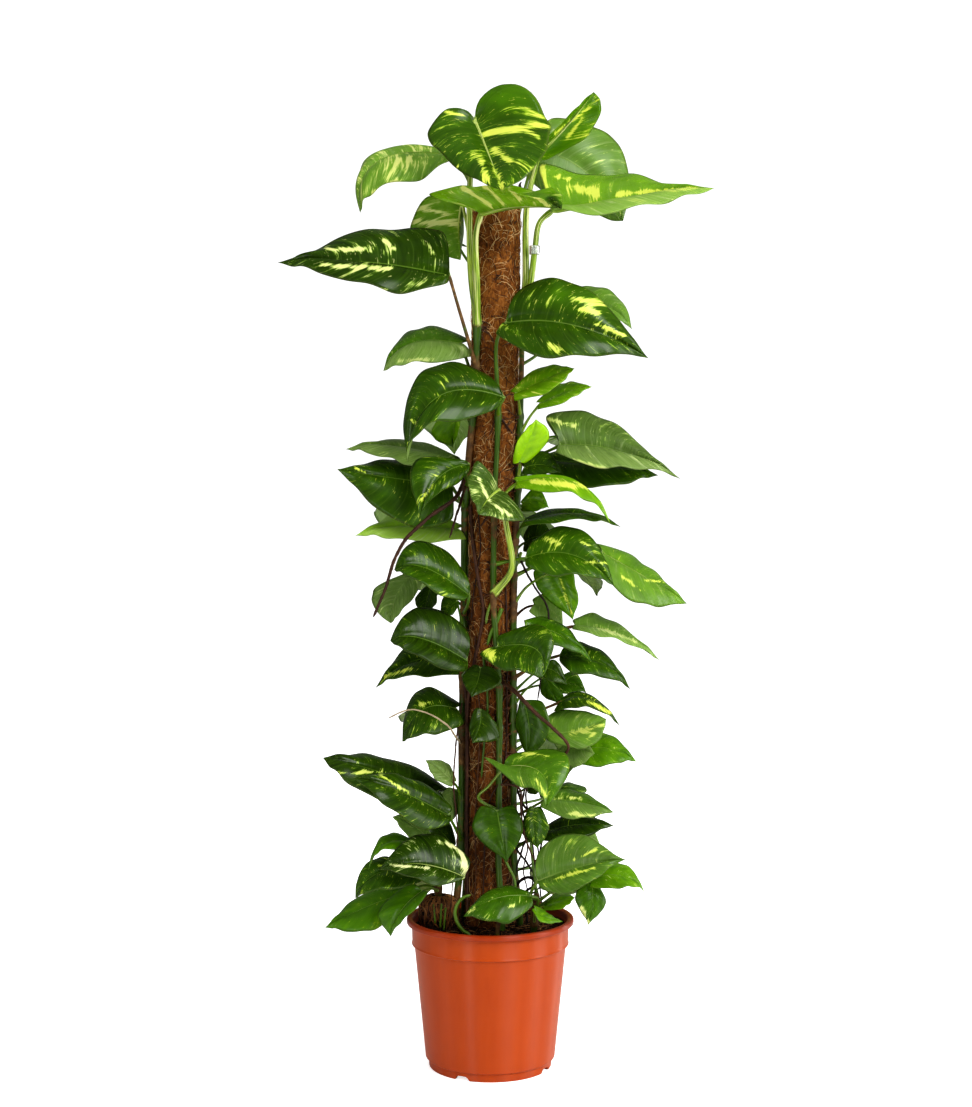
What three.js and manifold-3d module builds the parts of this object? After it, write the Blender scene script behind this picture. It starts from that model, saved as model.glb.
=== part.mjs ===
// Potted pothos climbing a coir pole, in millimetres, +Z up, origin at the centre of the pot's base.
import * as THREE from 'three';
import Module from 'manifold-3d';

// Pot
const RIM_RADIUS = 120;
const RIM_HEIGHT = 214;
const RIM_DEPTH = 8;
const RIM_EDGE = 2;
const COLLAR_RADIUS = 113;
const COLLAR_FOOT = 178;
const BODY_TOP_RADIUS = 109;
const BODY_FOOT_RADIUS = 93;
const FOOT_RADIUS = 88;
const FOOT_HEIGHT = 12;
const FOOT_RING = 6;
const SLOPE = 3;
const WALL = 2;
const FLOOR_TOP = 8;
const BASE_DISC = 34;
const POT_SIDES = 36;
const NOTCHES = 4;
const NOTCH_WIDTH = 22;
const NOTCH_HEIGHT = 6;
const NOTCH_DEPTH = 30;
const NOTCH_TURN = -117;
const DRAIN_HOLES = 6;
const DRAIN_RADIUS = 6;
const DRAIN_CIRCLE = 62;
const DRAIN_SIDES = 10;

// Soil, its low mound, the plain holes for what stands in it and the raised root plug at the left
const SOIL_TOP = 203;
const SOIL_INSET = 0.7;
const SOIL_SLACK = 1.4;
const SOIL_EDGE_RADIUS = 84;
const MOUND_RADIUS = 50;
const SOIL_SIDES = 30;
const HOLE_ROOM = 1.3;
const HOLE_SIDES = 8;
const PLUG = { x: -74, y: -14, foot: 170, radius: 27, rounding: 8, top: 246, sides: 12 };

// Moss pole: it leans a little to the right
const CORE_RADIUS = 18;
const SLEEVE_RADIUS = 34;
const POLE_FOOT = 60;
const POLE_TOP = 1243;
const CORE_TOP = 1247;
const LEAN_FROM = { x: -3, z: 200 };
const LEAN_TO = { x: 9, z: 1225 };
const POLE_SIDES = 20;

// Clearance between neighbours, and how far a cut runs past the face it opens
const GAP = 0.35;
const PAST = 5;

// Leaves: blade thickness, how far it bulges and waves as shares of its length, midrib and stalk
const BLADE = 0.9;
const CUP = 0.035;
const RIPPLE = 0.011;
const RIPPLE_WAVES = 4.1;
const RIB_SWELL = 0.9;
const NECK = 1.5;
const BIG_LEAF = 165;
const SMALL_LEAF = 85;
const LOBE_REACH = 0.13;
const LOBE_SPREAD = 0.46;
const STALK_THICKEST = 2.9;
const STALK_THINNEST = 1.5;
const STALK_GROWTH = 1 / 110;
const STALK_TAPER = 0.7;

// Stems and roots: sides, longest straight piece of a stem, radius kept at the far end
const STEM_SIDES = 6;
const STEM_STEP = 100;
const STEM_TAPER = 0.8;
const ROOT_SIDES = 4;
const ROOT_TAPER = 0.6;

// Points on leaves and hanging roots are written as seen from the front: across, up, and how far
// back. An eye stands 2.7 m in front of the pot at 0.85 m height; a seen point slides along its
// line of sight to its own depth.
const EYE = { x: -6, y: -2700, z: 850 };
const UP = new THREE.Vector3(0, 0, 1);

function place([across, up, depth]) {
  const stretch = (depth - EYE.y) / -EYE.y;
  return new THREE.Vector3(
    EYE.x + (across - EYE.x) * stretch,
    depth,
    EYE.z + (up - EYE.z) * stretch,
  );
}

// Climbing stems: radius, then height, azimuth round the pole (0 right, -90 front) and how far the
// stem stands off the pole. Shoots: radius, then plain points.
const CLIMBERS = {
  left: [6, [[150, -165, 9], [215, -165, 9], [300, -168, 0], [400, -172, 0], [560, -180, 0],
    [750, -180, 0], [850, -157, 0], [950, -133, 0], [1068, -128, 0]]],
  front: [5, [[150, -66, 9], [215, -66, 9], [300, -70, 0], [540, -72, 0], [670, -88, 0],
    [812, -88, 0], [897, -83, 0], [968, -82, 0]]],
  right: [5, [[150, -20, 9], [215, -20, 9], [300, -24, 0], [480, -34, 0], [640, -38, 0],
    [720, -38, 0], [900, -22, 0], [1085, -12, 0]]],
  back_left: [4.5, [[150, 138, 9], [215, 138, 9], [300, 140, 0], [700, 146, 0], [1182, 140, 0]]],
  back_right: [4.5, [[150, 42, 9], [215, 42, 9], [300, 44, 0], [700, 40, 0], [1225, 46, 0]]],
  back: [4.5, [[150, 92, 9], [215, 92, 9], [300, 92, 0], [700, 96, 0], [1190, 92, 0]]],
};
const SHOOTS = {
  plug: [4, [[-74, -14, 190], [-74, -14, 248], [-76, -18, 275], [-80, -22, 300]]],
  low: [3.5, [[10, -72, 150], [10, -72, 208], [12, -72, 222], [18, -70, 240]]],
  low_right: [4, [[62, -48, 150], [62, -48, 206], [63, -49, 230], [66, -50, 262]]],
};

// Leaves: name, stem, height of the joint, stalk points, base, middle and tip of the midrib, the
// widest points of the two halves, and where the two base lobes reach (left out: a plain heart).
const LEAVES = [
  ['crown_heart', 'left', 1062, [[-27, 1130, -44], [-29, 1250, -46]],
    [-22, 1350, -50], [-5, 1308, -86], [18, 1250, -176], [-88, 1330, -66], [80, 1350, -70],
    [-60, 1366, -56], [20, 1399, -58]],
  ['crown_left', 'back_left', 1165, [[-25, 1215, 28], [-31, 1264, 28]],
    [-58, 1300, 20], [-160, 1291, 12], [-184, 1217, -8], [-118, 1312, 55], [-98, 1266, -30],
    [-62, 1306, 36], [-62, 1290, -2]],
  ['crown_low', 'left', 1056, [[-19, 1120, -52], [-20, 1190, -56]],
    [-13, 1218, -62], [45, 1228, -105], [101, 1224, -150], [-42, 1255, -128], [62, 1250, -66],
    [-86, 1244, -92], [8, 1257, -58]],
  ['crown_under', 'back_left', 1120, [[-31, 1190, 2]],
    [-40, 1234, 14], [-45, 1197, 6], [-42, 1152, -18], [-112, 1204, 16], [-37, 1194, 36],
    [-88, 1242, 14], [-40, 1238, 30]],
  ['left_long', 'left', 1000, [[-33, 1045, -46], [-45, 1085, -50]],
    [-58, 1130, -55], [-180, 1150, -68], [-302, 1148, -60], [-112, 1195, -10], [-120, 1106, -102],
    [-66, 1192, -20], [-66, 1118, -88]],
  ['right_folded', 'right', 1078, [[50, 1120, -10], [52, 1230, -12]],
    [70, 1303, -16], [112, 1346, -28], [146, 1388, -40], [84, 1328, -46], [130, 1320, -28]],
  ['right_pale', 'back_right', 1200, [[50, 1255, 28]],
    [63, 1304, 46], [130, 1280, 62], [188, 1207, 60], [148, 1338, 72], [82, 1244, 66],
    [86, 1351, 52], [48, 1274, 60]],
  ['right_long', 'right', 1070, [[57, 1120, -20], [63, 1165, -24], [70, 1205, -26]],
    [88, 1222, -24], [200, 1240, -18], [318, 1253, -32], [126, 1272, 35], [150, 1216, -80],
    [70, 1288, 8], [90, 1222, -56]],
  ['mid_right', 'front', 955, [[9, 990, -46], [10, 1040, -48]],
    [22, 1063, -52], [120, 1060, -76], [225, 1013, -62], [82, 1126, -50], [68, 1016, -102],
    [36, 1106, -44], [10, 1046, -76]],
  ['mid_right_behind', 'back_right', 1035, [[55, 1055, 34]],
    [80, 1075, 32], [150, 1090, 26], [201, 1054, 10], [122, 1112, 60], [116, 1060, 0]],
  ['mid_left', 'back_left', 985, [[-36, 1018, 10]],
    [-42, 1034, -4], [-112, 1035, -6], [-152, 995, -12], [-76, 1058, 40], [-72, 1008, -34]],
  ['heart_left', 'front', 930, [[12, 945, -54]],
    [20, 958, -62], [-76, 958, -86], [-117, 866, -80], [-48, 1007, -50], [-38, 926, -108],
    [0, 988, -46], [2, 938, -88]],
  ['behind_heart', 'back_left', 915, [[-40, 945, 0]],
    [-46, 952, -10], [-50, 922, -2], [-53, 887, 22], [-82, 914, 0], [-42, 926, -24]],
  ['left_flat', 'back_left', 840, [[-46, 862, 4]],
    [-54, 870, 0], [-125, 887, -6], [-207, 884, -12], [-95, 892, 50], [-110, 862, -50]],
  ['left_big', 'left', 800, [[-46, 818, -22]],
    [-56, 834, -26], [-140, 844, -34], [-218, 856, -40], [-98, 868, 14], [-95, 772, -56],
    [-58, 860, -2], [-54, 786, -44]],
  ['left_heart', 'left', 830, [[-34, 850, -46]],
    [-30, 863, -56], [-75, 842, -82], [-100, 788, -96], [-96, 873, -70], [-46, 836, -84],
    [-48, 871, -56], [-30, 852, -66]],
  ['left_light', 'back_left', 745, [[-44, 764, 6]],
    [-50, 770, -4], [-120, 775, -12], [-193, 761, -26], [-92, 795, 42], [-86, 752, -32]],
  ['small_yellow', 'right', 930, [[40, 955, -32]],
    [37, 964, -38], [80, 985, -46], [120, 999, -52], [60, 995, -22], [75, 962, -70]],
  ['small_far', 'right', 905, [[56, 930, -18]],
    [72, 950, -20], [108, 966, -24], [145, 973, -28], [92, 974, 4], [98, 948, -44]],
  ['right_broad', 'right', 862, [[66, 874, 10]],
    [100, 890, -14], [182, 882, -16], [272, 841, -26], [128, 938, 16], [146, 860, -66],
    [80, 932, 4], [96, 878, -46]],
  ['right_dark', 'back_right', 840, [[64, 856, 22]],
    [92, 868, 16], [165, 862, 12], [240, 847, 0], [125, 886, 60], [132, 832, -20]],
  ['bud_leaf', 'right', 842, [[42, 860, -28]],
    [42, 868, -34], [57, 900, -44], [65, 927, -50], [36, 890, -50], [80, 892, -40]],
  ['small_dark', 'right', 828, [[46, 850, -20]],
    [49, 858, -20], [76, 862, -22], [104, 849, -26], [70, 881, -10], [72, 848, -34]],
  ['bright_curl', 'front', 795, [[22, 822, -46]],
    [38, 836, -46], [116, 838, -62], [172, 777, -72], [72, 843, -36], [74, 824, -88],
    [34, 843, -38], [38, 828, -62]],
  ['pale_front', 'front', 680, [[30, 712, -48], [24, 770, -53]],
    [12, 826, -58], [-4, 812, -100], [-17, 791, -146], [-28, 850, -98], [50, 786, -92],
    [-16, 868, -80], [32, 810, -66]],
  ['right_edge', 'right', 755, [[46, 775, -28]],
    [55, 782, -28], [120, 792, -32], [187, 773, -42], [84, 797, 16], [90, 780, -74]],
  ['right_small_lobe', 'back_right', 780, [[46, 800, 22]],
    [46, 806, 24], [66, 812, 28], [84, 800, 28], [60, 828, 36], [64, 796, 10]],
  ['right_shaded', 'back_right', 735, [[44, 748, 14]],
    [50, 752, 8], [70, 760, 6], [94, 750, 0], [62, 786, 20], [62, 738, -16]],
  ['right_mid', 'front', 722, [[36, 727, -42]],
    [50, 729, -48], [118, 734, -62], [177, 689, -68], [98, 774, -36], [88, 704, -90],
    [62, 756, -36], [54, 716, -68]],
  ['right_far', 'right', 705, [[90, 728, 0]],
    [160, 737, -8], [222, 702, -16], [281, 664, -28], [196, 736, 30], [190, 676, -50]],
  ['under_mid', 'right', 665, [[52, 688, -30], [82, 706, -30]],
    [93, 706, -30], [106, 678, -36], [118, 641, -42], [66, 690, -22], [122, 688, -42],
    [63, 712, -20], [117, 711, -34]],
  ['pale_low', 'back_right', 640, [[50, 658, 14]],
    [63, 662, 4], [88, 655, 4], [104, 632, 2], [86, 682, 22], [74, 640, -8]],
  ['right_striped', 'right', 624, [[90, 627, 0]],
    [121, 632, -10], [184, 619, -18], [243, 582, -28], [146, 650, 26], [148, 620, -52],
    [119, 642, 4], [119, 627, -26]],
  ['behind_gloss', 'right', 605, [[40, 624, -34]],
    [50, 631, -40], [100, 620, -42], [146, 580, -48], [78, 645, -14], [74, 608, -64],
    [50, 642, -32], [52, 620, -52]],
  ['gloss_front', 'front', 578, [[8, 594, -52]],
    [11, 602, -60], [64, 600, -90], [76, 560, -108], [60, 634, -66], [16, 570, -98],
    [14, 620, -52], [-15, 592, -74]],
  ['dark_small', 'right', 540, [[60, 562, -30]],
    [76, 572, -44], [94, 566, -48], [110, 547, -52], [90, 584, -42], [84, 554, -58]],
  ['right_low', 'right', 560, [[75, 582, -16]],
    [99, 590, -20], [158, 580, -28], [201, 540, -36], [128, 609, 6], [116, 566, -52],
    [108, 604, 0], [101, 579, -28]],
  ['pale_tip', 'back_right', 530, [[60, 545, 8]],
    [88, 550, 12], [112, 552, 12], [138, 536, 8], [112, 566, 32], [108, 535, 0]],
  ['green_wedge', 'right', 520, [[50, 540, -22], [74, 558, -20]],
    [80, 558, -12], [88, 540, -10], [97, 522, -10], [72, 538, -2], [103, 536, -14]],
  ['drip_tip', 'right', 500, [[78, 514, -24]],
    [102, 524, -28], [142, 528, -34], [187, 487, -42], [118, 537, -14], [120, 515, -54]],
  ['hanging_mid', 'right', 484, [[44, 520, -30]],
    [47, 526, -38], [56, 484, -46], [52, 438, -44], [36, 492, -30], [84, 500, -56],
    [43, 530, -34], [74, 524, -46]],
  ['yellow_edge', 'right', 455, [[58, 468, -28]],
    [77, 480, -34], [124, 482, -50], [166, 499, -58], [102, 512, -22], [124, 456, -74],
    [77, 500, -26], [84, 466, -44]],
  ['right_light', 'right', 430, [[80, 444, -20]],
    [125, 452, -24], [168, 457, -30], [210, 437, -36], [150, 478, 0], [152, 430, -54]],
  ['silver', 'right', 420, [[75, 436, -30]],
    [106, 460, -36], [128, 456, -52], [150, 449, -72], [126, 470, -34], [116, 430, -58]],
  ['centre_gloss', 'front', 372, [[-17, 386, -52], [-2, 402, -60]],
    [20, 430, -70], [72, 422, -102], [80, 372, -124], [90, 455, -78], [38, 404, -112],
    [34, 450, -64], [-9, 444, -76]],
  ['left_corner', 'left', 490, [[-46, 508, -16]],
    [-50, 514, -20], [-97, 512, -34], [-126, 466, -46], [-84, 544, 12], [-72, 478, -60]],
  ['left_round', 'left', 650, [[-32, 664, -44]],
    [-30, 676, -52], [-94, 716, -66], [-137, 712, -72], [-64, 740, -38], [-70, 676, -94],
    [-35, 708, -42], [-40, 668, -70]],
  ['left_hanging', 'back_left', 670, [[-62, 700, 14]],
    [-106, 708, -8], [-132, 680, -18], [-142, 636, -26], [-160, 690, -4], [-110, 672, -36]],
  ['left_shaded', 'back_left', 650, [[-60, 678, 6]],
    [-84, 690, -4], [-90, 672, -12], [-96, 648, -18], [-106, 674, -2], [-76, 668, -26]],
  ['left_bud', 'left', 630, [[-44, 652, -14]],
    [-47, 668, -18], [-58, 660, -24], [-72, 648, -28], [-64, 676, -10], [-52, 650, -32]],
  ['left_heart_low', 'left', 560, [[-34, 572, -44]],
    [-34, 583, -52], [-100, 615, -70], [-143, 611, -74], [-62, 650, -38], [-68, 571, -92],
    [-30, 622, -42], [-38, 567, -70]],
  ['left_behind_low', 'back_left', 555, [[-44, 574, 20]],
    [-54, 580, 16], [-110, 582, 4], [-165, 542, -16], [-82, 614, 46], [-86, 560, -34]],
  ['wedge_front', 'front', 548, [[-6, 566, -44]],
    [-14, 572, -46], [-18, 553, -60], [-27, 530, -80], [-39, 562, -52], [16, 556, -62]],
  ['wedge_low', 'front', 490, [[-6, 506, -42]],
    [-14, 512, -44], [-15, 490, -56], [-26, 464, -78], [-30, 490, -52], [14, 478, -58]],
  ['left_point', 'left', 385, [[-48, 402, -20]],
    [-53, 408, -26], [-70, 424, -32], [-93, 440, -36], [-58, 432, -10], [-76, 410, -48]],
  ['left_grey', 'back_left', 375, [[-44, 394, 6]],
    [-54, 398, 8], [-57, 378, 2], [-54, 350, -4], [-76, 382, -16], [-44, 372, 16]],
  ['left_deep', 'back_left', 300, [[-46, 308, 14]],
    [-54, 316, 14], [-70, 336, 18], [-90, 350, 16], [-56, 346, 36], [-84, 318, -2]],
  ['right_shaded_low', 'back_right', 385, [[48, 397, 20]],
    [54, 403, 18], [66, 408, 20], [80, 398, 18], [64, 426, 32], [64, 390, 4]],
  ['left_wing', 'back_left', 365, [[-60, 397, 24]],
    [-78, 394, -10], [-168, 426, -26], [-240, 443, -34], [-114, 432, 26], [-130, 370, -58]],
  ['left_wing_low', 'left', 325, [[-52, 346, -44]],
    [-60, 360, -60], [-132, 396, -80], [-196, 414, -88], [-92, 404, -42], [-96, 340, -108],
    [-57, 376, -46], [-60, 346, -76]],
  ['plug_pale', 'plug', 285, [[-82, 312, -30]],
    [-86, 324, -34], [-112, 346, -40], [-141, 358, -44], [-98, 354, -12], [-110, 322, -54]],
  ['plug_arch', 'plug', 280, [[-92, 302, -40]],
    [-106, 316, -52], [-150, 320, -64], [-175, 280, -72], [-132, 334, -36], [-132, 310, -80]],
  ['cream_edge', 'plug', 262, [[-62, 266, -46], [-46, 268, -66]],
    [-38, 271, -80], [-102, 290, -98], [-161, 281, -102], [-72, 330, -60], [-76, 258, -120],
    [-30, 298, -68], [-40, 266, -92]],
  ['plug_dark', 'plug', 272, [[-96, 280, -48]],
    [-110, 279, -54], [-162, 276, -72], [-194, 240, -82], [-148, 300, -44], [-136, 254, -96]],
  ['over_rim', 'plug', 258, [[-96, 258, -14]],
    [-126, 246, -18], [-182, 226, -28], [-238, 197, -40], [-164, 254, 4], [-160, 198, -48]],
  ['over_rim_front', 'plug', 254, [[-84, 254, -50]],
    [-97, 251, -72], [-128, 222, -78], [-143, 184, -72], [-151, 234, -56], [-106, 226, -96],
    [-116, 262, -62], [-90, 247, -86]],
  ['pole_heart', 'low', 236, [[36, 259, -58], [21, 298, -52], [10, 345, -48]],
    [10, 367, -52], [16, 332, -62], [24, 292, -66], [-26, 346, -52], [46, 350, -60],
    [-14, 373, -48], [33, 374, -50]],
  ['right_pair', 'right', 360, [[64, 374, -34]],
    [82, 384, -46], [130, 379, -54], [178, 364, -62], [108, 398, -18], [108, 356, -80]],
  ['right_deep', 'right', 315, [[64, 330, -22]],
    [84, 338, -30], [130, 347, -38], [178, 345, -46], [108, 360, -4], [106, 320, -62]],
  ['right_pale_low', 'back_right', 310, [[80, 328, 10]],
    [116, 336, -4], [140, 332, -8], [158, 315, -14], [134, 346, 14], [130, 322, -26]],
  ['striped_small', 'low_right', 255, [[58, 330, -50]],
    [62, 370, -52], [62, 342, -58], [68, 312, -60], [46, 348, -46], [84, 346, -64]],
  ['gloss_right', 'low_right', 250, [[58, 246, -72]],
    [68, 265, -86], [130, 286, -104], [195, 296, -112], [98, 330, -68], [108, 246, -128],
    [68, 306, -70], [76, 252, -106]],
  ['right_pale_tip', 'low_right', 245, [[110, 262, -62]],
    [148, 268, -70], [188, 273, -76], [222, 249, -82], [176, 290, -50], [180, 254, -98]],
  ['over_rim_right', 'low_right', 235, [[100, 250, -56], [124, 264, -54]],
    [145, 263, -64], [147, 238, -72], [141, 201, -76], [122, 243, -70], [166, 240, -66]],
  ['foot_gloss', 'low_right', 228, [[68, 240, -78]],
    [58, 243, -88], [8, 240, -106], [-39, 213, -108], [26, 258, -72], [30, 205, -122],
    [54, 250, -80], [60, 228, -102]],
  ['foot_light', 'low_right', 218, [[70, 226, -52]],
    [78, 228, -54], [100, 236, -62], [122, 241, -76], [96, 246, -38], [100, 224, -82]],
  ['foot_curl', 'low_right', 214, [[64, 218, -68]],
    [64, 223, -92], [80, 212, -90], [105, 206, -78], [76, 224, -76], [70, 208, -106]],
  ['rear_crown', 'back', 1180, [[18, 1240, 70]],
    [20, 1275, 80], [24, 1310, 120], [20, 1318, 175], [-24, 1300, 110], [66, 1300, 110]],
  ['rear_top', 'back', 1050, [[40, 1062, 70]],
    [62, 1076, 90], [92, 1085, 140], [120, 1070, 200], [52, 1090, 140], [125, 1068, 120]],
  ['rear_left_top', 'back', 920, [[-28, 934, 70]],
    [-42, 950, 90], [-66, 958, 140], [-84, 940, 205], [-104, 950, 112], [-16, 952, 134]],
  ['rear_right_top', 'back_right', 880, [[70, 892, 50]],
    [96, 900, 70], [130, 904, 120], [160, 884, 185], [92, 910, 130], [168, 890, 92]],
  ['rear_left_mid', 'back_left', 800, [[-62, 820, 44]],
    [-84, 834, 66], [-112, 838, 120], [-128, 818, 186], [-150, 828, 88], [-68, 830, 124]],
  ['rear_right_mid', 'back_right', 720, [[60, 730, 50]],
    [82, 738, 70], [110, 742, 120], [132, 722, 180], [74, 744, 126], [146, 726, 92]],
  ['rear_left_low', 'back_left', 600, [[-50, 608, 50]],
    [-66, 612, 70], [-88, 616, 122], [-100, 598, 186], [-124, 608, 92], [-46, 610, 128]],
  ['rear_right_low', 'back', 585, [[20, 596, 70]],
    [34, 602, 88], [52, 606, 140], [66, 590, 200], [14, 604, 146], [94, 594, 114]],
  ['rear_centre', 'back_right', 460, [[56, 474, 54]],
    [70, 484, 72], [88, 490, 126], [100, 474, 188], [48, 490, 130], [124, 480, 98]],
  ['rear_left_foot', 'back', 390, [[-40, 392, 74]],
    [-60, 396, 92], [-84, 400, 144], [-104, 384, 204], [-118, 394, 112], [-46, 396, 154]],
  ['rear_foot_right', 'back_right', 275, [[70, 286, 66]],
    [86, 292, 86], [106, 294, 136], [120, 276, 192], [66, 296, 142], [140, 282, 110]],
  ['rear_foot_left', 'back_left', 270, [[-64, 286, 60]],
    [-82, 294, 78], [-102, 298, 128], [-116, 282, 186], [-138, 290, 100], [-64, 292, 134]],
  ['rear_upper_left', 'back', 1112, [[-24, 1140, 66]],
    [-46, 1172, 92], [-74, 1180, 138], [-98, 1162, 200], [-108, 1170, 112], [-48, 1186, 138]],
  ['rear_upper_right', 'back_right', 1000, [[66, 1018, 48]],
    [84, 1040, 66], [116, 1052, 114], [146, 1034, 176], [76, 1056, 124], [152, 1036, 90]],
  ['rear_centre_top', 'back', 790, [[14, 802, 72]],
    [26, 810, 90], [46, 815, 142], [58, 796, 206], [2, 812, 146], [86, 804, 116]],
  ['rear_left_between', 'back_left', 700, [[-54, 710, 50]],
    [-72, 720, 72], [-98, 725, 120], [-116, 704, 186], [-138, 714, 90], [-56, 719, 130]],
  ['rear_left_under', 'back_left', 500, [[-52, 510, 50]],
    [-68, 518, 72], [-92, 522, 122], [-108, 502, 190], [-130, 513, 92], [-50, 516, 130]],
  ['rear_right_foot', 'back_right', 370, [[68, 382, 56]],
    [90, 390, 76], [114, 395, 126], [132, 376, 188], [76, 396, 132], [150, 382, 98]],
];

// How a leaf at the back hangs, set against its row: degrees of droop, degrees that it swings to
// the right seen from above, and its size
const HANGING = {
  rear_top: [-14, -16, 0.95], rear_left_top: [34, 16, 1], rear_right_top: [14, -18, 0.85],
  rear_left_mid: [26, -12, 1.05], rear_right_mid: [24, 20, 1], rear_left_low: [16, 10, 1.1],
  rear_right_low: [-16, -14, 0.85], rear_centre: [30, 12, 1], rear_left_foot: [12, 14, 0.9],
  rear_foot_right: [24, -10, 1], rear_foot_left: [32, -8, 0.95], rear_upper_left: [22, -10, 1],
  rear_upper_right: [10, 14, 0.9], rear_centre_top: [36, 16, 1], rear_left_between: [20, 18, 0.9],
  rear_left_under: [10, -12, 0.85], rear_right_foot: [-12, -12, 0.85],
};

// Leaves whose blade narrows later (below 1) or sooner (above 1) than the plain heart
const NARROWING = {
  crown_heart: [0.55, 0.55], crown_left: [0.4, 0.6], crown_under: [0.7, 0.7], left_long: [1.4, 1],
  right_folded: [0.6, 0.6], right_pale: [0.6, 0.6], right_long: [1.6, 0.7], mid_left: [0.7, 0.7],
  heart_left: [0.45, 0.45], right_broad: [1.4, 1.4], right_mid: [0.8, 0.8],
  right_striped: [1.4, 1.2], right_low: [1.2, 1.2], gloss_front: [0.55, 0.55],
  mid_right_behind: [0.5, 1], left_round: [0.7, 0.7], left_heart_low: [0.7, 0.7], left_corner: [0.7, 0.7],
  left_wing: [0.8, 0.8], plug_dark: [0.7, 0.7], centre_gloss: [0.55, 0.55],
  gloss_right: [1.2, 1.2], crown_low: [0.8, 0.8], left_hanging: [0.7, 0.7],
  yellow_edge: [0.8, 0.8],
};

// How far the round lobes of a half stand out past the plain outline, where they do
const FULL_LOBES = { crown_heart: [0, 9] };

// Leaf stalks that are stouter than their leaf's length gives
const STOUT = {
  crown_heart: 5.2, crown_low: 5.4, right_folded: 5.2, right_long: 5.2, pale_front: 5,
  crown_under: 2.9, mid_right: 3.4,
};

// Hanging and clinging roots: stem, radius, points as seen from the front
const ROOTS = [
  ['left', 3.2, [[-33, 850, -15], [-50, 815, -70], [-90, 785, -80], [-120, 755, -80],
    [-137, 725, -84], [-150, 685, -80], [-167, 645, -76]]],
  ['left', 2.4, [[-34, 836, -13], [-45, 800, -66], [-58, 758, -70]]],
  ['front', 3.4, [[12, 556, -40], [33, 541, -58], [64, 509, -78], [100, 476, -90],
    [112, 460, -86], [107, 446, -78]]],
  ['front', 1.8, [[14, 404, -38], [30, 404, -48], [43, 398, -50], [44, 368, -56],
    [47, 339, -56], [57, 310, -66], [71, 281, -62]]],
  ['left', 1.6, [[-42, 464, -6], [-50, 474, -50], [-62, 491, -72], [-84, 505, -76],
    [-115, 512, -76], [-146, 500, -78]]],
];

// Root of the left stem lying down the front of the pole: height and azimuth
const POLE_ROOT = [3, [[566, -174, 3], [540, -160, 0], [470, -151, 0], [400, -150, 0],
  [320, -147, 0], [245, -143, 0]]];

// Bare curved stalk at the foot of the pole, and the clip high on the right
const LOOP = [3, [[-30, -84, 170], [-30, -84, 207], [-38, -86, 214], [-46, -88, 226], [-49, -90, 240],
  [-46, -91, 252], [-38, -91, 261], [-27, -90, 265]]];
const LOOP_TAPER = 0.7;
const CLIP = { at: [63, 1160, -24], inner: 5.9, outer: 7.8, height: 12, sides: 14 };

const wasm = await Module();
wasm.setup();

// Closed body from points and triangles, turned outward
function solid(points, triangles) {
  let volume = 0;
  for (const [a, b, c] of triangles) {
    volume += points[a].dot(new THREE.Vector3().crossVectors(points[b], points[c]));
  }
  const outward = volume < 0 ? triangles.map(([a, b, c]) => [a, c, b]) : triangles;
  return new wasm.Manifold(new wasm.Mesh({
    numProp: 3,
    vertProperties: Float32Array.from(points.flatMap((p) => p.toArray())),
    triVerts: Uint32Array.from(outward.flat()),
  }));
}

// Bodies fused into one, without the hollows shut in where they cross
function union(bodies) {
  const fused = bodies.reduce((sum, body) => sum.add(body));
  return wasm.Manifold.compose(fused.decompose().filter((shell) => shell.volume() > 0));
}

// Rings of equal length joined into a closed body
function loft(rings) {
  const sides = rings[0].length;
  const points = rings.flat();
  const triangles = [];
  for (let r = 0; r + 1 < rings.length; r += 1) {
    for (let i = 0; i < sides; i += 1) {
      const j = (i + 1) % sides;
      const low = r * sides;
      const high = low + sides;
      triangles.push([low + i, low + j, high + j], [low + i, high + j, high + i]);
    }
  }
  const last = points.length - sides;
  for (let i = 1; i + 1 < sides; i += 1) {
    triangles.push([0, i + 1, i], [last, last + i, last + i + 1]);
  }
  return solid(points, triangles);
}

// Upright body of circular rings: [radius, height] pairs, closed by flat ends
function turned(profile, sides, at = { x: 0, y: 0 }) {
  return loft(profile.map(([radius, height]) => {
    const ring = [];
    for (let i = 0; i < sides; i += 1) {
      const angle = (2 * Math.PI * i) / sides;
      ring.push(new THREE.Vector3(at.x + radius * Math.cos(angle), at.y + radius * Math.sin(angle),
        height));
    }
    return ring;
  }));
}

function box(width, depth, height, at, turn) {
  const across = new THREE.Vector3(Math.cos(turn), Math.sin(turn), 0);
  const out = new THREE.Vector3(-Math.sin(turn), Math.cos(turn), 0);
  const ring = (z) => [[-1, -1], [1, -1], [1, 1], [-1, 1]].map(([u, v]) => new THREE.Vector3(0, 0, z)
    .add(at)
    .addScaledVector(across, (u * width) / 2)
    .addScaledVector(out, (v * depth) / 2));
  return loft([ring(0), ring(height)]);
}

// Smooth path through a few points, as even steps
function smooth(points, steps) {
  return new THREE.CatmullRomCurve3(points, false, 'centripetal').getSpacedPoints(steps);
}

// Rings round a path, one at every point, the radius running from first to last
function tubeRings(path, radius, endRadius, sides, start = new THREE.Vector3(0.2, -1, 0.1)) {
  const normal = start.clone();
  return path.map((centre, s) => {
    const before = path[Math.max(s - 1, 0)];
    const after = path[Math.min(s + 1, path.length - 1)];
    const along = after.clone().sub(before).normalize();
    normal.addScaledVector(along, -normal.dot(along)).normalize();
    const aside = new THREE.Vector3().crossVectors(along, normal);
    const r = radius + (endRadius - radius) * (s / (path.length - 1));
    const ring = [];
    for (let i = 0; i < sides; i += 1) {
      const angle = (2 * Math.PI * i) / sides;
      ring.push(centre.clone()
        .addScaledVector(normal, r * Math.cos(angle))
        .addScaledVector(aside, r * Math.sin(angle)));
    }
    return ring;
  });
}

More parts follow.
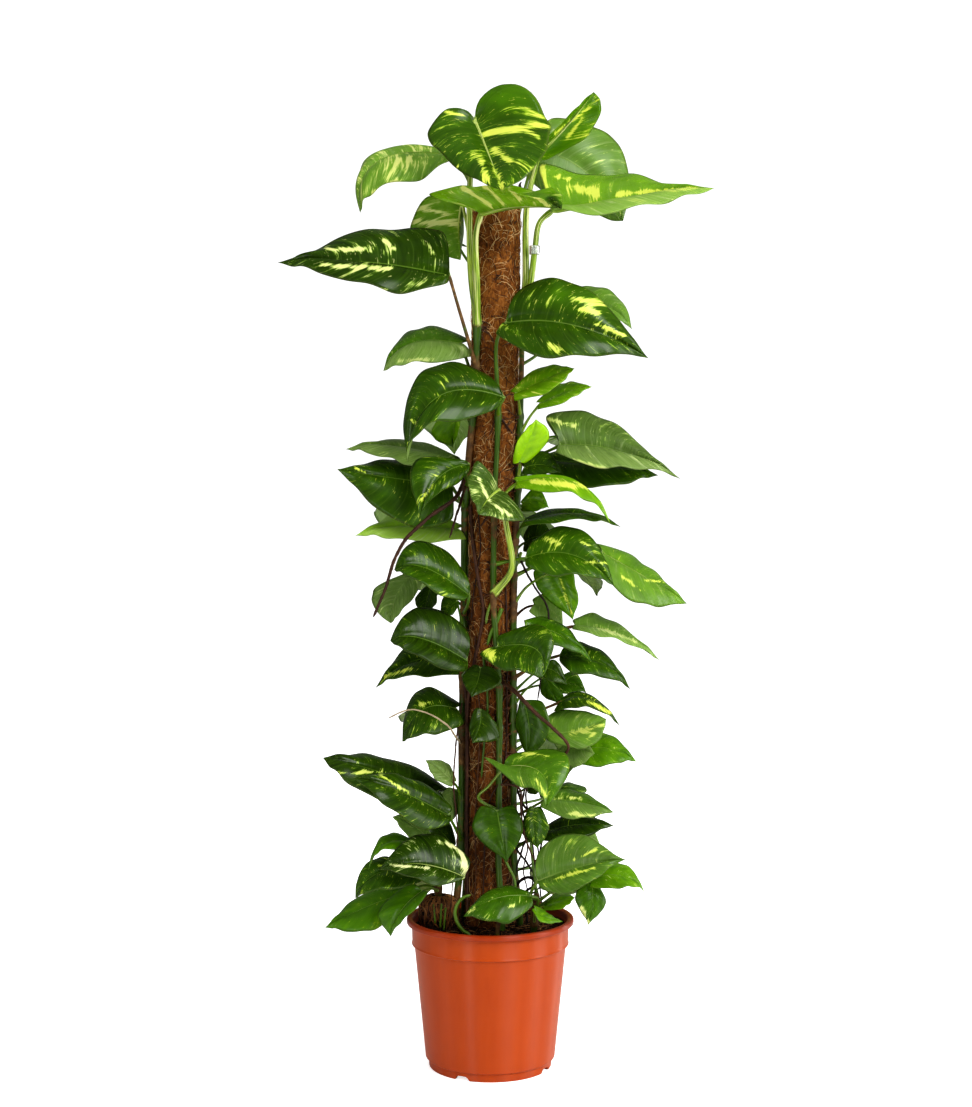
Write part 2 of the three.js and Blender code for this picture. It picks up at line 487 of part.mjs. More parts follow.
function tube(path, radius, endRadius, sides) {
  return loft(tubeRings(path, radius, endRadius, sides));
}

function poleCentre(z) {
  const share = (z - LEAN_FROM.z) / (LEAN_TO.z - LEAN_FROM.z);
  return LEAN_FROM.x + (LEAN_TO.x - LEAN_FROM.x) * share;
}

function aroundPole(z, azimuth, distance) {
  const angle = THREE.MathUtils.degToRad(azimuth);
  return new THREE.Vector3(poleCentre(z) + distance * Math.cos(angle), distance * Math.sin(angle), z);
}

// Heights between the given ones, so that a stem hugs the pole all the way up
function course(stations, step) {
  const out = [];
  stations.forEach((station, i) => {
    if (i > 0) {
      const from = stations[i - 1];
      const parts = Math.max(1, Math.round((station[0] - from[0]) / step));
      for (let k = 1; k <= parts; k += 1) {
        out.push(station.map((value, j) => from[j] + ((value - from[j]) * k) / parts));
      }
    } else {
      out.push(station);
    }
  });
  return out;
}

function climb(radius, stations) {
  return course(stations, STEM_STEP).map(
    ([z, azimuth, off]) => aroundPole(z, azimuth, SLEEVE_RADIUS + radius + GAP + off),
  );
}

function stemPath(name) {
  if (SHOOTS[name]) {
    return SHOOTS[name][1].map((p) => new THREE.Vector3(...p));
  }
  return climb(...CLIMBERS[name]);
}

function stemPointAt(path, z) {
  const above = Math.max(1, path.findIndex((p) => p.z >= z));
  const low = path[above - 1];
  const high = path[above];
  return low.clone().lerp(high, Math.min(1, (z - low.z) / (high.z - low.z)));
}

// Midrib as a parabola through base, middle and tip
function midrib(base, middle, tip, s) {
  const pull = middle.clone().multiplyScalar(2).addScaledVector(base, -0.5).addScaledVector(tip, -0.5);
  return base.clone().multiplyScalar((1 - s) * (1 - s))
    .addScaledVector(pull, 2 * s * (1 - s))
    .addScaledVector(tip, s * s);
}

// Share of the half width kept towards the tip, and where along the midrib each side vein starts
const WIDEST_AT = 0.2;
const TAPER = [[0.45, 0.9], [0.7, 0.56], [0.88, 0.2]];
const VEIN_START = [[0, 0], [1, 0], [1.5, 0.05], [2, 0.14], [3, 0.3], [4, 0.52], [5, 0.76], [6, 1]];
const BIG_OUTLINE = [0.5, 1, 1.5, 2, 3, 4, 5, 6];
const PLAIN_OUTLINE = [0.6, 1.2, 2, 3, 4.3, 6];
const SMALL_OUTLINE = [1, 2, 3.2, 6];

function veinStart(u) {
  const next = VEIN_START.findIndex(([at]) => at >= u);
  if (next <= 0) {
    return 0;
  }
  const [u0, s0] = VEIN_START[next - 1];
  const [u1, s1] = VEIN_START[next];
  return s0 + ((s1 - s0) * (u - u0)) / (u1 - u0);
}

// Even spline through the keys, at place u
function through(keys, u) {
  const i = Math.min(Math.floor(u), keys.length - 2);
  const t = u - i;
  const a = keys[Math.max(i - 1, 0)];
  const b = keys[i];
  const c = keys[i + 1];
  const d = keys[Math.min(i + 2, keys.length - 1)];
  return new THREE.Vector3()
    .addScaledVector(a, (-t + 2 * t * t - t * t * t) / 2)
    .addScaledVector(b, (2 - 5 * t * t + 3 * t * t * t) / 2)
    .addScaledVector(c, (t + 4 * t * t - 3 * t * t * t) / 2)
    .addScaledVector(d, (-t * t + t * t * t) / 2);
}

// A leaf's points turned and scaled about its base, as HANGING says
function hung(name, points) {
  const [droop, swing, size] = HANGING[name] || [0, 0, 1];
  const base = points[0];
  const heading = points[2].clone().sub(base).setZ(0).normalize();
  const aside = heading.clone().cross(UP);
  return points.map((p) => p.clone().sub(base).multiplyScalar(size)
    .applyAxisAngle(aside, THREE.MathUtils.degToRad(-droop))
    .applyAxisAngle(UP, THREE.MathUtils.degToRad(-swing)).add(base));
}

function leafShape(row) {
  const points = hung(row[0], row.slice(4).map((p) => place(p)));
  const [base, middle, tip, sideA, sideB, lobeA, lobeB] = points;
  const rib = (s) => midrib(base, middle, tip, s);
  const length = base.distanceTo(middle) + middle.distanceTo(tip);
  const heading = rib(0.1).sub(base).normalize();
  const [powerA, powerB] = NARROWING[row[0]] || [1, 1];
  const outline = (side, lobe, power) => {
    const half = side.clone().sub(rib(WIDEST_AT));
    const reach = lobe || base.clone().addScaledVector(heading, -LOBE_REACH * length)
      .addScaledVector(half, LOBE_SPREAD);
    return [base, reach, side, ...TAPER.map(([s, w]) => rib(s).addScaledVector(half, w ** power)), tip];
  };
  const edges = [outline(sideA, lobeA, powerA), outline(sideB, lobeB, powerB)];
  return { base, tip, rib, length, edges, bulges: FULL_LOBES[row[0]] || [0, 0] };
}

// Margin of one half at place u, with its round lobe between the base and the widest place
function margin(shape, hand, u) {
  const keys = shape.edges[hand];
  const point = through(keys, u);
  if (shape.bulges[hand] > 0 && u < 2) {
    const outward = point.clone().sub(keys[0].clone().lerp(keys[2], 0.5)).normalize();
    point.addScaledVector(outward, shape.bulges[hand] * Math.sin(Math.PI * u) ** 2);
  }
  return point;
}

// Mid surface of a blade: a vein grid from the midrib to both margins. Point 0 is the base.
function bladeSheet(shape, upward) {
  const big = shape.length > BIG_LEAF;
  const plain = shape.length > SMALL_LEAF ? PLAIN_OUTLINE : SMALL_OUTLINE;
  const outline = big ? BIG_OUTLINE : plain;
  const across = big ? 2 : 1;
  const sheet = [];
  const onRib = outline.map((u, c) => {
    if (c === 0 || veinStart(u) > veinStart(outline[c - 1])) {
      sheet.push(shape.rib(veinStart(u)));
    }
    return sheet.length - 1;
  });
  const ribCount = sheet.length;
  const faces = [];
  [0, 1].forEach((hand) => {
    const ids = outline.map((u, c) => {
      const column = [onRib[c]];
      for (let a = 1; a <= across; a += 1) {
        if (c === outline.length - 1) {
          column.push(onRib[c]);
        } else {
          const v = a / across;
          const lift = shape.length * (CUP * Math.sin(Math.PI * v)
            + RIPPLE * v * v * Math.sin(RIPPLE_WAVES * u + 2 * hand));
          sheet.push(shape.rib(veinStart(u)).lerp(margin(shape, hand, u), v)
            .addScaledVector(upward, lift));
          column.push(sheet.length - 1);
        }
      }
      return column;
    });
    for (let c = 0; c + 1 < ids.length; c += 1) {
      for (let a = 0; a < across; a += 1) {
        const quad = [ids[c][a], ids[c + 1][a], ids[c + 1][a + 1], ids[c][a + 1]];
        [[quad[0], quad[1], quad[2]], [quad[0], quad[2], quad[3]]].forEach((face) => {
          if (new Set(face).size === 3) {
            faces.push(hand ? face.reverse() : face);
          }
        });
      }
    }
  });
  return { sheet, faces, ribCount };
}

function upperSide(shape) {
  const upward = new THREE.Vector3().crossVectors(
    shape.tip.clone().sub(shape.base),
    shape.edges[0][2].clone().sub(shape.edges[1][2]),
  ).normalize();
  return upward.z - upward.y / 2 < 0 ? upward.negate() : upward;
}

// Blade and stalk as one body. The sheet is thickened to both faces and closed round the edge; at
// the base the wall opens into the four-sided stalk, which runs back into the stem.
function leaf(row, path) {
  const shape = leafShape(row);
  const upward = upperSide(shape);
  const { sheet, faces, ribCount } = bladeSheet(shape, upward);
  const normals = sheet.map(() => new THREE.Vector3());
  for (const [a, b, c] of faces) {
    const normal = new THREE.Vector3().crossVectors(
      sheet[b].clone().sub(sheet[a]),
      sheet[c].clone().sub(sheet[a]),
    );
    [a, b, c].forEach((i) => normals[i].add(normal));
  }
  const count = sheet.length;
  const points = [1, -1].flatMap((face) => sheet.map((p, i) => {
    const rib = i < ribCount ? RIB_SWELL * (1 - i / ribCount) ** 2 : 0;
    return p.clone().addScaledVector(normals[i].clone().normalize(), face * (BLADE / 2 + rib));
  }));
  const back = shape.rib(0.05).sub(shape.base).normalize().negate();
  const aside = new THREE.Vector3().crossVectors(back, normals[0]).normalize();
  const [left, right] = [1, -1].map((hand) => points.push(shape.base.clone()
    .addScaledVector(back, NECK).addScaledVector(aside, hand * NECK * STALK_TAPER)) - 1);
  const triangles = faces.flatMap(([a, b, c]) => [[a, b, c], [a + count, c + count, b + count]]);
  const edges = new Set(faces.flatMap(([a, b, c]) => [`${a},${b}`, `${b},${c}`, `${c},${a}`]));
  for (const edge of edges) {
    const [a, b] = edge.split(',').map(Number);
    if (!edges.has(`${b},${a}`)) {
      if (a === 0) {
        triangles.push([b, 0, right], [b, right, b + count], [right, count, b + count]);
      } else if (b === 0) {
        triangles.push([0, a, left], [a, a + count, left], [a + count, count, left]);
      } else {
        triangles.push([b, a, a + count], [b, a + count, b + count]);
      }
    }
  }
  const joint = stemPointAt(path, row[2]);
  const bends = [shape.base, ...row[3].map(place).reverse(), joint];
  const thick = STOUT[row[0]]
    || Math.min(STALK_THICKEST, STALK_THINNEST + STALK_GROWTH * shape.length);
  const stalk = smooth(bends, bends.length);
  const rings = tubeRings(stalk, thick * STALK_TAPER, thick, 4, normals[0]);
  let ring = [0, left, count, right];
  for (const next of rings.slice(1)) {
    const ids = next.map((p) => points.push(p) - 1);
    for (let i = 0; i < 4; i += 1) {
      const j = (i + 1) % 4;
      triangles.push([ring[i], ring[j], ids[j]], [ring[i], ids[j], ids[i]]);
    }
    ring = ids;
  }
  triangles.push([ring[0], ring[1], ring[2]], [ring[0], ring[2], ring[3]]);
  return solid(points, triangles);
}

function leafyStem(name) {
  const [radius] = CLIMBERS[name] || SHOOTS[name];
  const path = stemPath(name);
  const bodies = [tube(path, radius, radius * STEM_TAPER, STEM_SIDES)];
  for (const row of LEAVES.filter((leaf) => leaf[1] === name)) {
    bodies.push(leaf(row, path));
  }
  for (const [, thick, points] of ROOTS.filter((root) => root[0] === name)) {
    const bends = smooth(points.map(place), 2 * points.length - 3);
    bodies.push(tube(bends, thick, thick * ROOT_TAPER, ROOT_SIDES));
  }
  if (name === 'left') {
    const [thick, stations] = POLE_ROOT;
    bodies.push(tube(climb(thick, stations), thick, thick * ROOT_TAPER, ROOT_SIDES));
  }
  return union(bodies);
}

function pot() {
  const shell = turned([
    [FOOT_RADIUS, 0], [FOOT_RADIUS, FOOT_HEIGHT], [BODY_FOOT_RADIUS, FOOT_HEIGHT + SLOPE],
    [BODY_TOP_RADIUS, COLLAR_FOOT - SLOPE], [COLLAR_RADIUS - 1, COLLAR_FOOT],
    [COLLAR_RADIUS, RIM_HEIGHT - RIM_DEPTH], [RIM_RADIUS, RIM_HEIGHT - RIM_DEPTH + RIM_EDGE],
    [RIM_RADIUS, RIM_HEIGHT - RIM_EDGE], [RIM_RADIUS - RIM_EDGE, RIM_HEIGHT],
  ], POT_SIDES);
  const inside = turned([
    [FOOT_RADIUS - WALL, FLOOR_TOP], [FOOT_RADIUS - WALL, FOOT_HEIGHT + 1],
    [BODY_FOOT_RADIUS - WALL, FOOT_HEIGHT + SLOPE + WALL],
    [BODY_TOP_RADIUS - WALL, COLLAR_FOOT - SLOPE + WALL],
    [COLLAR_RADIUS - WALL - 1, COLLAR_FOOT + WALL],
    [COLLAR_RADIUS - WALL, RIM_HEIGHT + PAST],
  ], POT_SIDES);
  const ringInside = FOOT_RADIUS - FOOT_RING;
  const raised = turned([[ringInside, -PAST], [ringInside, FLOOR_TOP - WALL]], POT_SIDES)
    .subtract(turned([[BASE_DISC, -PAST - 1], [BASE_DISC, FLOOR_TOP]], POT_SIDES / 2));
  let body = shell.subtract(inside).subtract(raised);
  for (let i = 0; i < NOTCHES; i += 1) {
    const turn = THREE.MathUtils.degToRad(NOTCH_TURN + (360 * i) / NOTCHES);
    const at = new THREE.Vector3(FOOT_RADIUS * Math.cos(turn), FOOT_RADIUS * Math.sin(turn), -PAST);
    body = body.subtract(box(NOTCH_DEPTH, NOTCH_WIDTH, NOTCH_HEIGHT + PAST, at, turn));
  }
  for (let i = 0; i < DRAIN_HOLES; i += 1) {
    const turn = (2 * Math.PI * (i + 0.5)) / DRAIN_HOLES;
    const at = { x: DRAIN_CIRCLE * Math.cos(turn), y: DRAIN_CIRCLE * Math.sin(turn) };
    const hole = [[DRAIN_RADIUS, -PAST], [DRAIN_RADIUS, FLOOR_TOP + PAST]];
    body = body.subtract(turned(hole, DRAIN_SIDES, at));
  }
  return body;
}

function poleRings(radius, heights, sides) {
  return loft(heights.map((z) => {
    const ring = [];
    for (let i = 0; i < sides; i += 1) {
      ring.push(aroundPole(z, (360 * i) / sides, radius));
    }
    return ring;
  }));
}

function soil() {
  const inset = WALL + SOIL_INSET;
  const foot = FOOT_RADIUS - inset;
  const collar = COLLAR_RADIUS - inset - SOIL_SLACK;
  const heap = turned([
    [foot, FLOOR_TOP + GAP], [foot, FOOT_HEIGHT + WALL],
    [BODY_FOOT_RADIUS - inset, FOOT_HEIGHT + 2 * SLOPE],
    [BODY_TOP_RADIUS - inset, COLLAR_FOOT - SLOPE / 2],
    [collar, COLLAR_FOOT + SLOPE], [collar, SOIL_TOP - SLOPE],
    [SOIL_EDGE_RADIUS, SOIL_TOP], [MOUND_RADIUS, SOIL_TOP + SLOPE],
  ], SOIL_SIDES);
  const { radius, rounding, top } = PLUG;
  const plug = turned([
    [radius, PLUG.foot], [radius, SOIL_TOP + rounding], [radius - SLOPE, top - rounding],
    [radius - rounding, top],
  ], PLUG.sides, PLUG);
  const above = PLUG.top + PAST;
  const poleHole = poleRings(SLEEVE_RADIUS + GAP, [POLE_FOOT - GAP, above], POLE_SIDES);
  const standing = Object.keys(CLIMBERS).concat(Object.keys(SHOOTS)).map((name) => {
    const [thick] = CLIMBERS[name] || SHOOTS[name];
    return [stemPath(name)[0], thick];
  });
  standing.push([new THREE.Vector3(...LOOP[1][0]), LOOP[0]]);
  return standing.reduce((body, [end, thick]) => {
    const r = thick + HOLE_ROOM;
    return body.subtract(turned([[r, end.z - GAP], [r, above]], HOLE_SIDES, end));
  }, heap.add(plug).subtract(poleHole));
}

function clip() {
  const at = place(CLIP.at);
  const top = at.z + CLIP.height;
  return turned([[CLIP.outer, at.z], [CLIP.outer, top]], CLIP.sides, at)
    .subtract(turned([[CLIP.inner, at.z - PAST], [CLIP.inner, top + PAST]], CLIP.sides, at));
}

const group = new THREE.Group();
group.name = 'potted_pothos';

function addPiece(name, body, colour, roughness) {
  const { vertProperties, triVerts } = body.getMesh();
  const geometry = new THREE.BufferGeometry();
  geometry.setAttribute('position', new THREE.BufferAttribute(vertProperties, 3));
  geometry.setIndex(new THREE.BufferAttribute(triVerts, 1));
  geometry.computeVertexNormals();
  const mesh = new THREE.Mesh(geometry, new THREE.MeshStandardMaterial({ color: colour, roughness }));
  mesh.name = name;
  group.add(mesh);
}

addPiece('pot', pot(), 0xc44c22, 0.35);
addPiece('soil', soil(), 0x2d1914, 0.95);
addPiece('pole_core', poleRings(CORE_RADIUS, [POLE_FOOT, CORE_TOP], POLE_SIDES), 0x6b4a2c, 0.8);
const bore = poleRings(CORE_RADIUS + GAP, [POLE_FOOT - PAST, POLE_TOP + PAST], POLE_SIDES);
addPiece('coir_sleeve', poleRings(SLEEVE_RADIUS, [POLE_FOOT, POLE_TOP], POLE_SIDES).subtract(bore),
  0x7a4524, 0.95);
for (const name of Object.keys(CLIMBERS)) {
  addPiece(`stem_${name}`, leafyStem(name), 0x3c6e14, 0.45);
}
for (const name of Object.keys(SHOOTS)) {
  addPiece(`shoot_${name}`, leafyStem(name), 0x46781a, 0.45);
}
const bent = LOOP[1].map((p) => new THREE.Vector3(...p));
addPiece('loop_stalk', tube(bent, LOOP[0], LOOP[0] * LOOP_TAPER, ROOT_SIDES), 0x5a8a28, 0.5);
addPiece('plant_clip', clip(), 0xd8dcd4, 0.3);

export default group;
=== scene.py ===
"""Looks of the potted pothos: finer leaves, stems, fibres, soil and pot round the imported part."""

import math

import bpy
import numpy as np
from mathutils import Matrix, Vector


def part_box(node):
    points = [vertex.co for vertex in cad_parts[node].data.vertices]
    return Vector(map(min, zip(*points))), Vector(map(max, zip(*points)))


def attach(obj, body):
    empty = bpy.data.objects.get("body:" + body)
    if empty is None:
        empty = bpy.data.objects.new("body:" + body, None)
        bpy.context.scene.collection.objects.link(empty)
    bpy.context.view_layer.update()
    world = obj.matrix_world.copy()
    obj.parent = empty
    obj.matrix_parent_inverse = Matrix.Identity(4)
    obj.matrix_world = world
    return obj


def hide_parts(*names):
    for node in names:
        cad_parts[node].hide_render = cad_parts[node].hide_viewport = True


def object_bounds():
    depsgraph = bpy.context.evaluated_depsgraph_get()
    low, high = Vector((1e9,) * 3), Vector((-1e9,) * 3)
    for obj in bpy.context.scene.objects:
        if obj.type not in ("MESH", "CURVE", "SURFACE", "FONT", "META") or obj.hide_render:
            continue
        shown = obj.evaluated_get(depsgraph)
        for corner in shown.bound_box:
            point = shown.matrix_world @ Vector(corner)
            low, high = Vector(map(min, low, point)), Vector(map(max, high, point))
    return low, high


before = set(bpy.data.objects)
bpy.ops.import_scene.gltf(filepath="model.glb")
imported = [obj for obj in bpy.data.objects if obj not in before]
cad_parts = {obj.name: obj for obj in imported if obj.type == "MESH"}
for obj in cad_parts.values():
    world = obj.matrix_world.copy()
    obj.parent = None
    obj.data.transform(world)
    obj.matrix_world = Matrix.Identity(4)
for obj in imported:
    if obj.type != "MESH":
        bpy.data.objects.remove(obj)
CAD_LOW, CAD_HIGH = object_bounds()
rng = np.random.default_rng(20240611)

# Sizes are millimetres until a mesh is made. Lights, materials and what says (m) use metres
MM = 0.001
# Where the photo's camera stands
EYE = np.array([-6.0, -2700.0, 850.0])

# The furthest corners of the solids, in whole tenths of a millimetre
POT_HIGH, SLEEVE_HIGH, SOIL_HIGH = [[round(v / MM, 1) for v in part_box(node)[1]]
                                    for node in ("pot", "coir_sleeve", "soil")]

# The pole, whose axis leans between two points (across, up)
POLE_RADIUS, POLE_TOP = SLEEVE_HIGH[1:]
LEAN_FROM, LEAN_TO = (-3.0, 200.0), (9.0, 1225.0)
# Gap between a stem and the coir
CLEAR = 0.35

# The pot and the soil
RIM_RADIUS, RIM_HEIGHT, RIM_DEPTH = POT_HIGH[0], POT_HIGH[2], 8.0
COLLAR_RADIUS, COLLAR_FOOT = 113.0, 178.0
BODY_TOP_RADIUS, BODY_FOOT_RADIUS = 109.0, 93.0
FOOT_RADIUS, FOOT_HEIGHT, FOOT_RING, SLOPE = 88.0, 12.0, 6.0, 3.0
WALL, FLOOR_TOP, BASE_DISC = 2.0, 8.0, 34.0
SOIL_TOP = 203.0
PLUG_X, PLUG_Y, PLUG_RADIUS, PLUG_TOP = -74.0, -14.0, 27.0, SOIL_HIGH[2]
MOUND_RADIUS, MOUND_HEIGHT = 105.0, 4.5

# Round corners of the pot's outline, from the foot up and over the rim
FOOT_CORNER, BODY_CORNER, BEAD, UNDER_LIP, LIP_CORNER = 1.0, 3.0, 1.5, 1.8, 1.5
RIM_CORNER, RIM_INNER_CORNER = 3.2, 3.5
# Sides of the round shell, and the angle (degrees) from which its edges look sharp
POT_SIDES, POT_EDGE_ANGLE = 144, 32
# Notches through the foot ring, holes in the floor, and small oval slots above the foot
NOTCHES, NOTCH_TURN, NOTCH_HEIGHT, NOTCH_WIDTH = 4, -117.0, 6.0, 22.0
DRAINS, DRAIN_CIRCLE, DRAIN_RADIUS = 6, 62.0, 6.0
SLOTS, SLOT_TURN, SLOT_RADIUS, SLOT_SQUEEZE, SLOT_OUT = 12, 19.0, 1.6, 0.7, 2.6

# The coir mat: points round and up it, its foot in the soil and the bore for the stake
MAT_AROUND, MAT_ROWS, MAT_FOOT, MAT_BORE = 116, 500, 195.0, 19.0

# Fibres on the mat: how many, shortest, longest, radius, darkest, lightest and how far they arch
STRANDS = [
    (1350, 8, 24, 0.35, 0.2, 0.75, 1.1), (1200, 8, 24, 0.44, -0.1, 0.15, 1.2),
    (1950, 8, 28, 0.33, 0.75, 1.1, 1.6), (240, 16, 44, 0.4, 0.85, 1.15, 1.9),
    (40, 40, 90, 0.6, 0.9, 1.1, 2.4),
]
# Short fibres that stand off the mat, frayed ones at its top and turns of straw round it there
FUZZ, FRAYS, STRAWS = 1350, 420, 7
# Heights from which fuzz, fibres and straw are there, and the step from turn to turn of straw
FUZZ_FOOT, STRAND_FOOT, STRAW_FOOT, STRAW_STEP = 206.0, 204.0, 1221.0, 1.7

# Points round the soil and from its middle out, with its radius, edge and foot inside the pot
BED_AROUND, BED_RINGS, BED_RADIUS, BED_EDGE, BED_FOOT = 150, 50, 108.6, 198.0, 182.0
PLUG_AROUND, PLUG_RINGS, PLUG_FOOT = 80, 26, 198.0
# How many crumbs lie on the soil and on the plug, and threads and roots likewise
CRUMBS, PLUG_CRUMBS, THREADS, PLUG_ROOTS = 1350, 260, 420, 240
# How far from the middle crumbs and threads lie, and the furthest that a thread may run
CRUMBS_WITHIN, THREADS_WITHIN, THREADS_END = 106.0, 104.0, 105.0

# Outline of a leaf: share of its length where it is widest, then (share, width left) pairs from
# there to the tip, and for leaves without seen lobes how far these reach back and spread
WIDEST_AT, TAPER = 0.2, [(0.45, 0.9), (0.7, 0.56), (0.88, 0.2)]
LOBE_REACH, LOBE_SPREAD = 0.13, 0.46
# Relief as shares of the leaf's length, with how fast its waves follow each other
CUP, RIPPLE, RIPPLE_WAVES, CURL, CURL_WAVES = 0.035, 0.011, 4.1, 0.004, 6.3
QUILT, GROOVE = 0.0006, 0.006
# Width of the groove over the midrib, width of the midrib and thickness of the blade
GROOVE_WIDTH, RIB_WIDTH, BLADE = 2.4, 1.7, 0.7
# Places along a leaf run from 0 to LEAF_SPAN, and on its second half from HALF_APART on. Its
# side veins are VEIN_STEP apart and bow by VEIN_SWEEP
LEAF_SPAN, HALF_APART, VEIN_STEP, VEIN_SWEEP = 6.0, 10, 0.5, 0.22
# Steps along and across each half: of a leaf longer than BIG_LEAF, a smaller one, one behind
BIG_LEAF, BIG_GRID, SMALL_GRID, REAR_GRID = 120, (72, 11), (48, 8), (54, 9)
# Radius of a leaf stalk: most, least, growth per mm of leaf, and share that is left at its end
STALK_THICKEST, STALK_THINNEST, STALK_GROWTH, STALK_TAPER = 2.9, 1.5, 1 / 110, 0.7
# How brown the bark of a stem is, and of the green one at the front
STEM_BARK, GREEN_STEM_BARK = 0.45, 0.2
# Steps up the pole and along everything else that grows, and how many sides a stem, a leaf
# stalk and a root have
CLIMB_STEP, PATH_STEP = 4.0, 3.0
STEM_SIDES, STALK_SIDES, ROOT_SIDES = 14, 10, 7
# Where the first point of each ring of a tube lies, unless that is told
START_SIDE = (0.2, -1.0, 0.1)
# Radii along a fine hair of a root
HAIR = [0.16, 0.13, 0.06]
# Roots cling from the joints above this height, and this many of them from each joint
LOWEST_CLINGING, CLINGING_LEAST, CLINGING_MOST = 240, 3, 5

# The clip: where it is seen, radii, height, points round it, gap (radians) and rounded edge (m)
CLIP_AT, CLIP_OUTER, CLIP_INNER = (63, 1160, -24), 7.6, 6.0
CLIP_HEIGHT, CLIP_POINTS, CLIP_GAP, CLIP_EDGE = 12.0, 48, 0.5, 0.0004

# Half the width of the floor (m), its glow near and far away, and how far off (m) these are
FLOOR_REACH, FLOOR_GLOW, GLOW_FROM, GLOW_TO = 14.0, (0.62, 0.95), 0.3, 2.5
WORLD_LIGHT = 0.16

# Camera fitted to the photo: focal length and frame height in its pixels, sensor width (mm),
# tilt down (degrees) and how far it sees (m)
FOCAL_PX, FRAME_PX, SENSOR, PITCH, FAR_CLIP = 1895.0, 1107.0, 36.0, 2.42, 60.0

# Values kept on the points of leaves and of stalks
LEAF_VALUES = ("tone", "streaks", "pale", "mark", "wash")
STALK_VALUES = ("brown", "tint", "ring")

# Climbing stems: radius, and points as height, azimuth in degrees (0 to the right, -90 to the
# front) and distance off the coir
CLIMBERS = {
    "left": (6, [(150, -165, 9), (215, -165, 9), (300, -168, 0), (400, -172, 0), (560, -180, 0),
        (750, -180, 0), (850, -157, 0), (950, -133, 0), (1068, -128, 0)]),
    "front": (5, [(150, -66, 9), (215, -66, 9), (300, -70, 0), (540, -72, 0), (670, -88, 0),
        (812, -88, 0), (897, -83, 0), (968, -82, 0)]),
    "right": (5, [(150, -20, 9), (215, -20, 9), (300, -24, 0), (480, -34, 0), (640, -38, 0),
        (720, -38, 0), (900, -22, 0), (1085, -12, 0)]),
    "back_left": (4.5, [(150, 138, 9), (215, 138, 9), (300, 140, 0), (700, 146, 0),
        (1182, 140, 0)]),
    "back_right": (4.5, [(150, 42, 9), (215, 42, 9), (300, 44, 0), (700, 40, 0), (1225, 46, 0)]),
    "back": (4.5, [(150, 92, 9), (215, 92, 9), (300, 92, 0), (700, 96, 0), (1190, 92, 0)]),
}

# Shoots from the soil: radius, and points as across, depth and height
SHOOTS = {
    "plug": (4, [(-74, -14, 190), (-74, -14, 248), (-76, -18, 275), (-80, -22, 300)]),
    "low": (3.5, [(10, -72, 150), (10, -72, 208), (12, -72, 222), (18, -70, 240)]),
    "low_right": (4, [(62, -48, 150), (62, -48, 206), (63, -49, 230), (66, -50, 262)]),
}

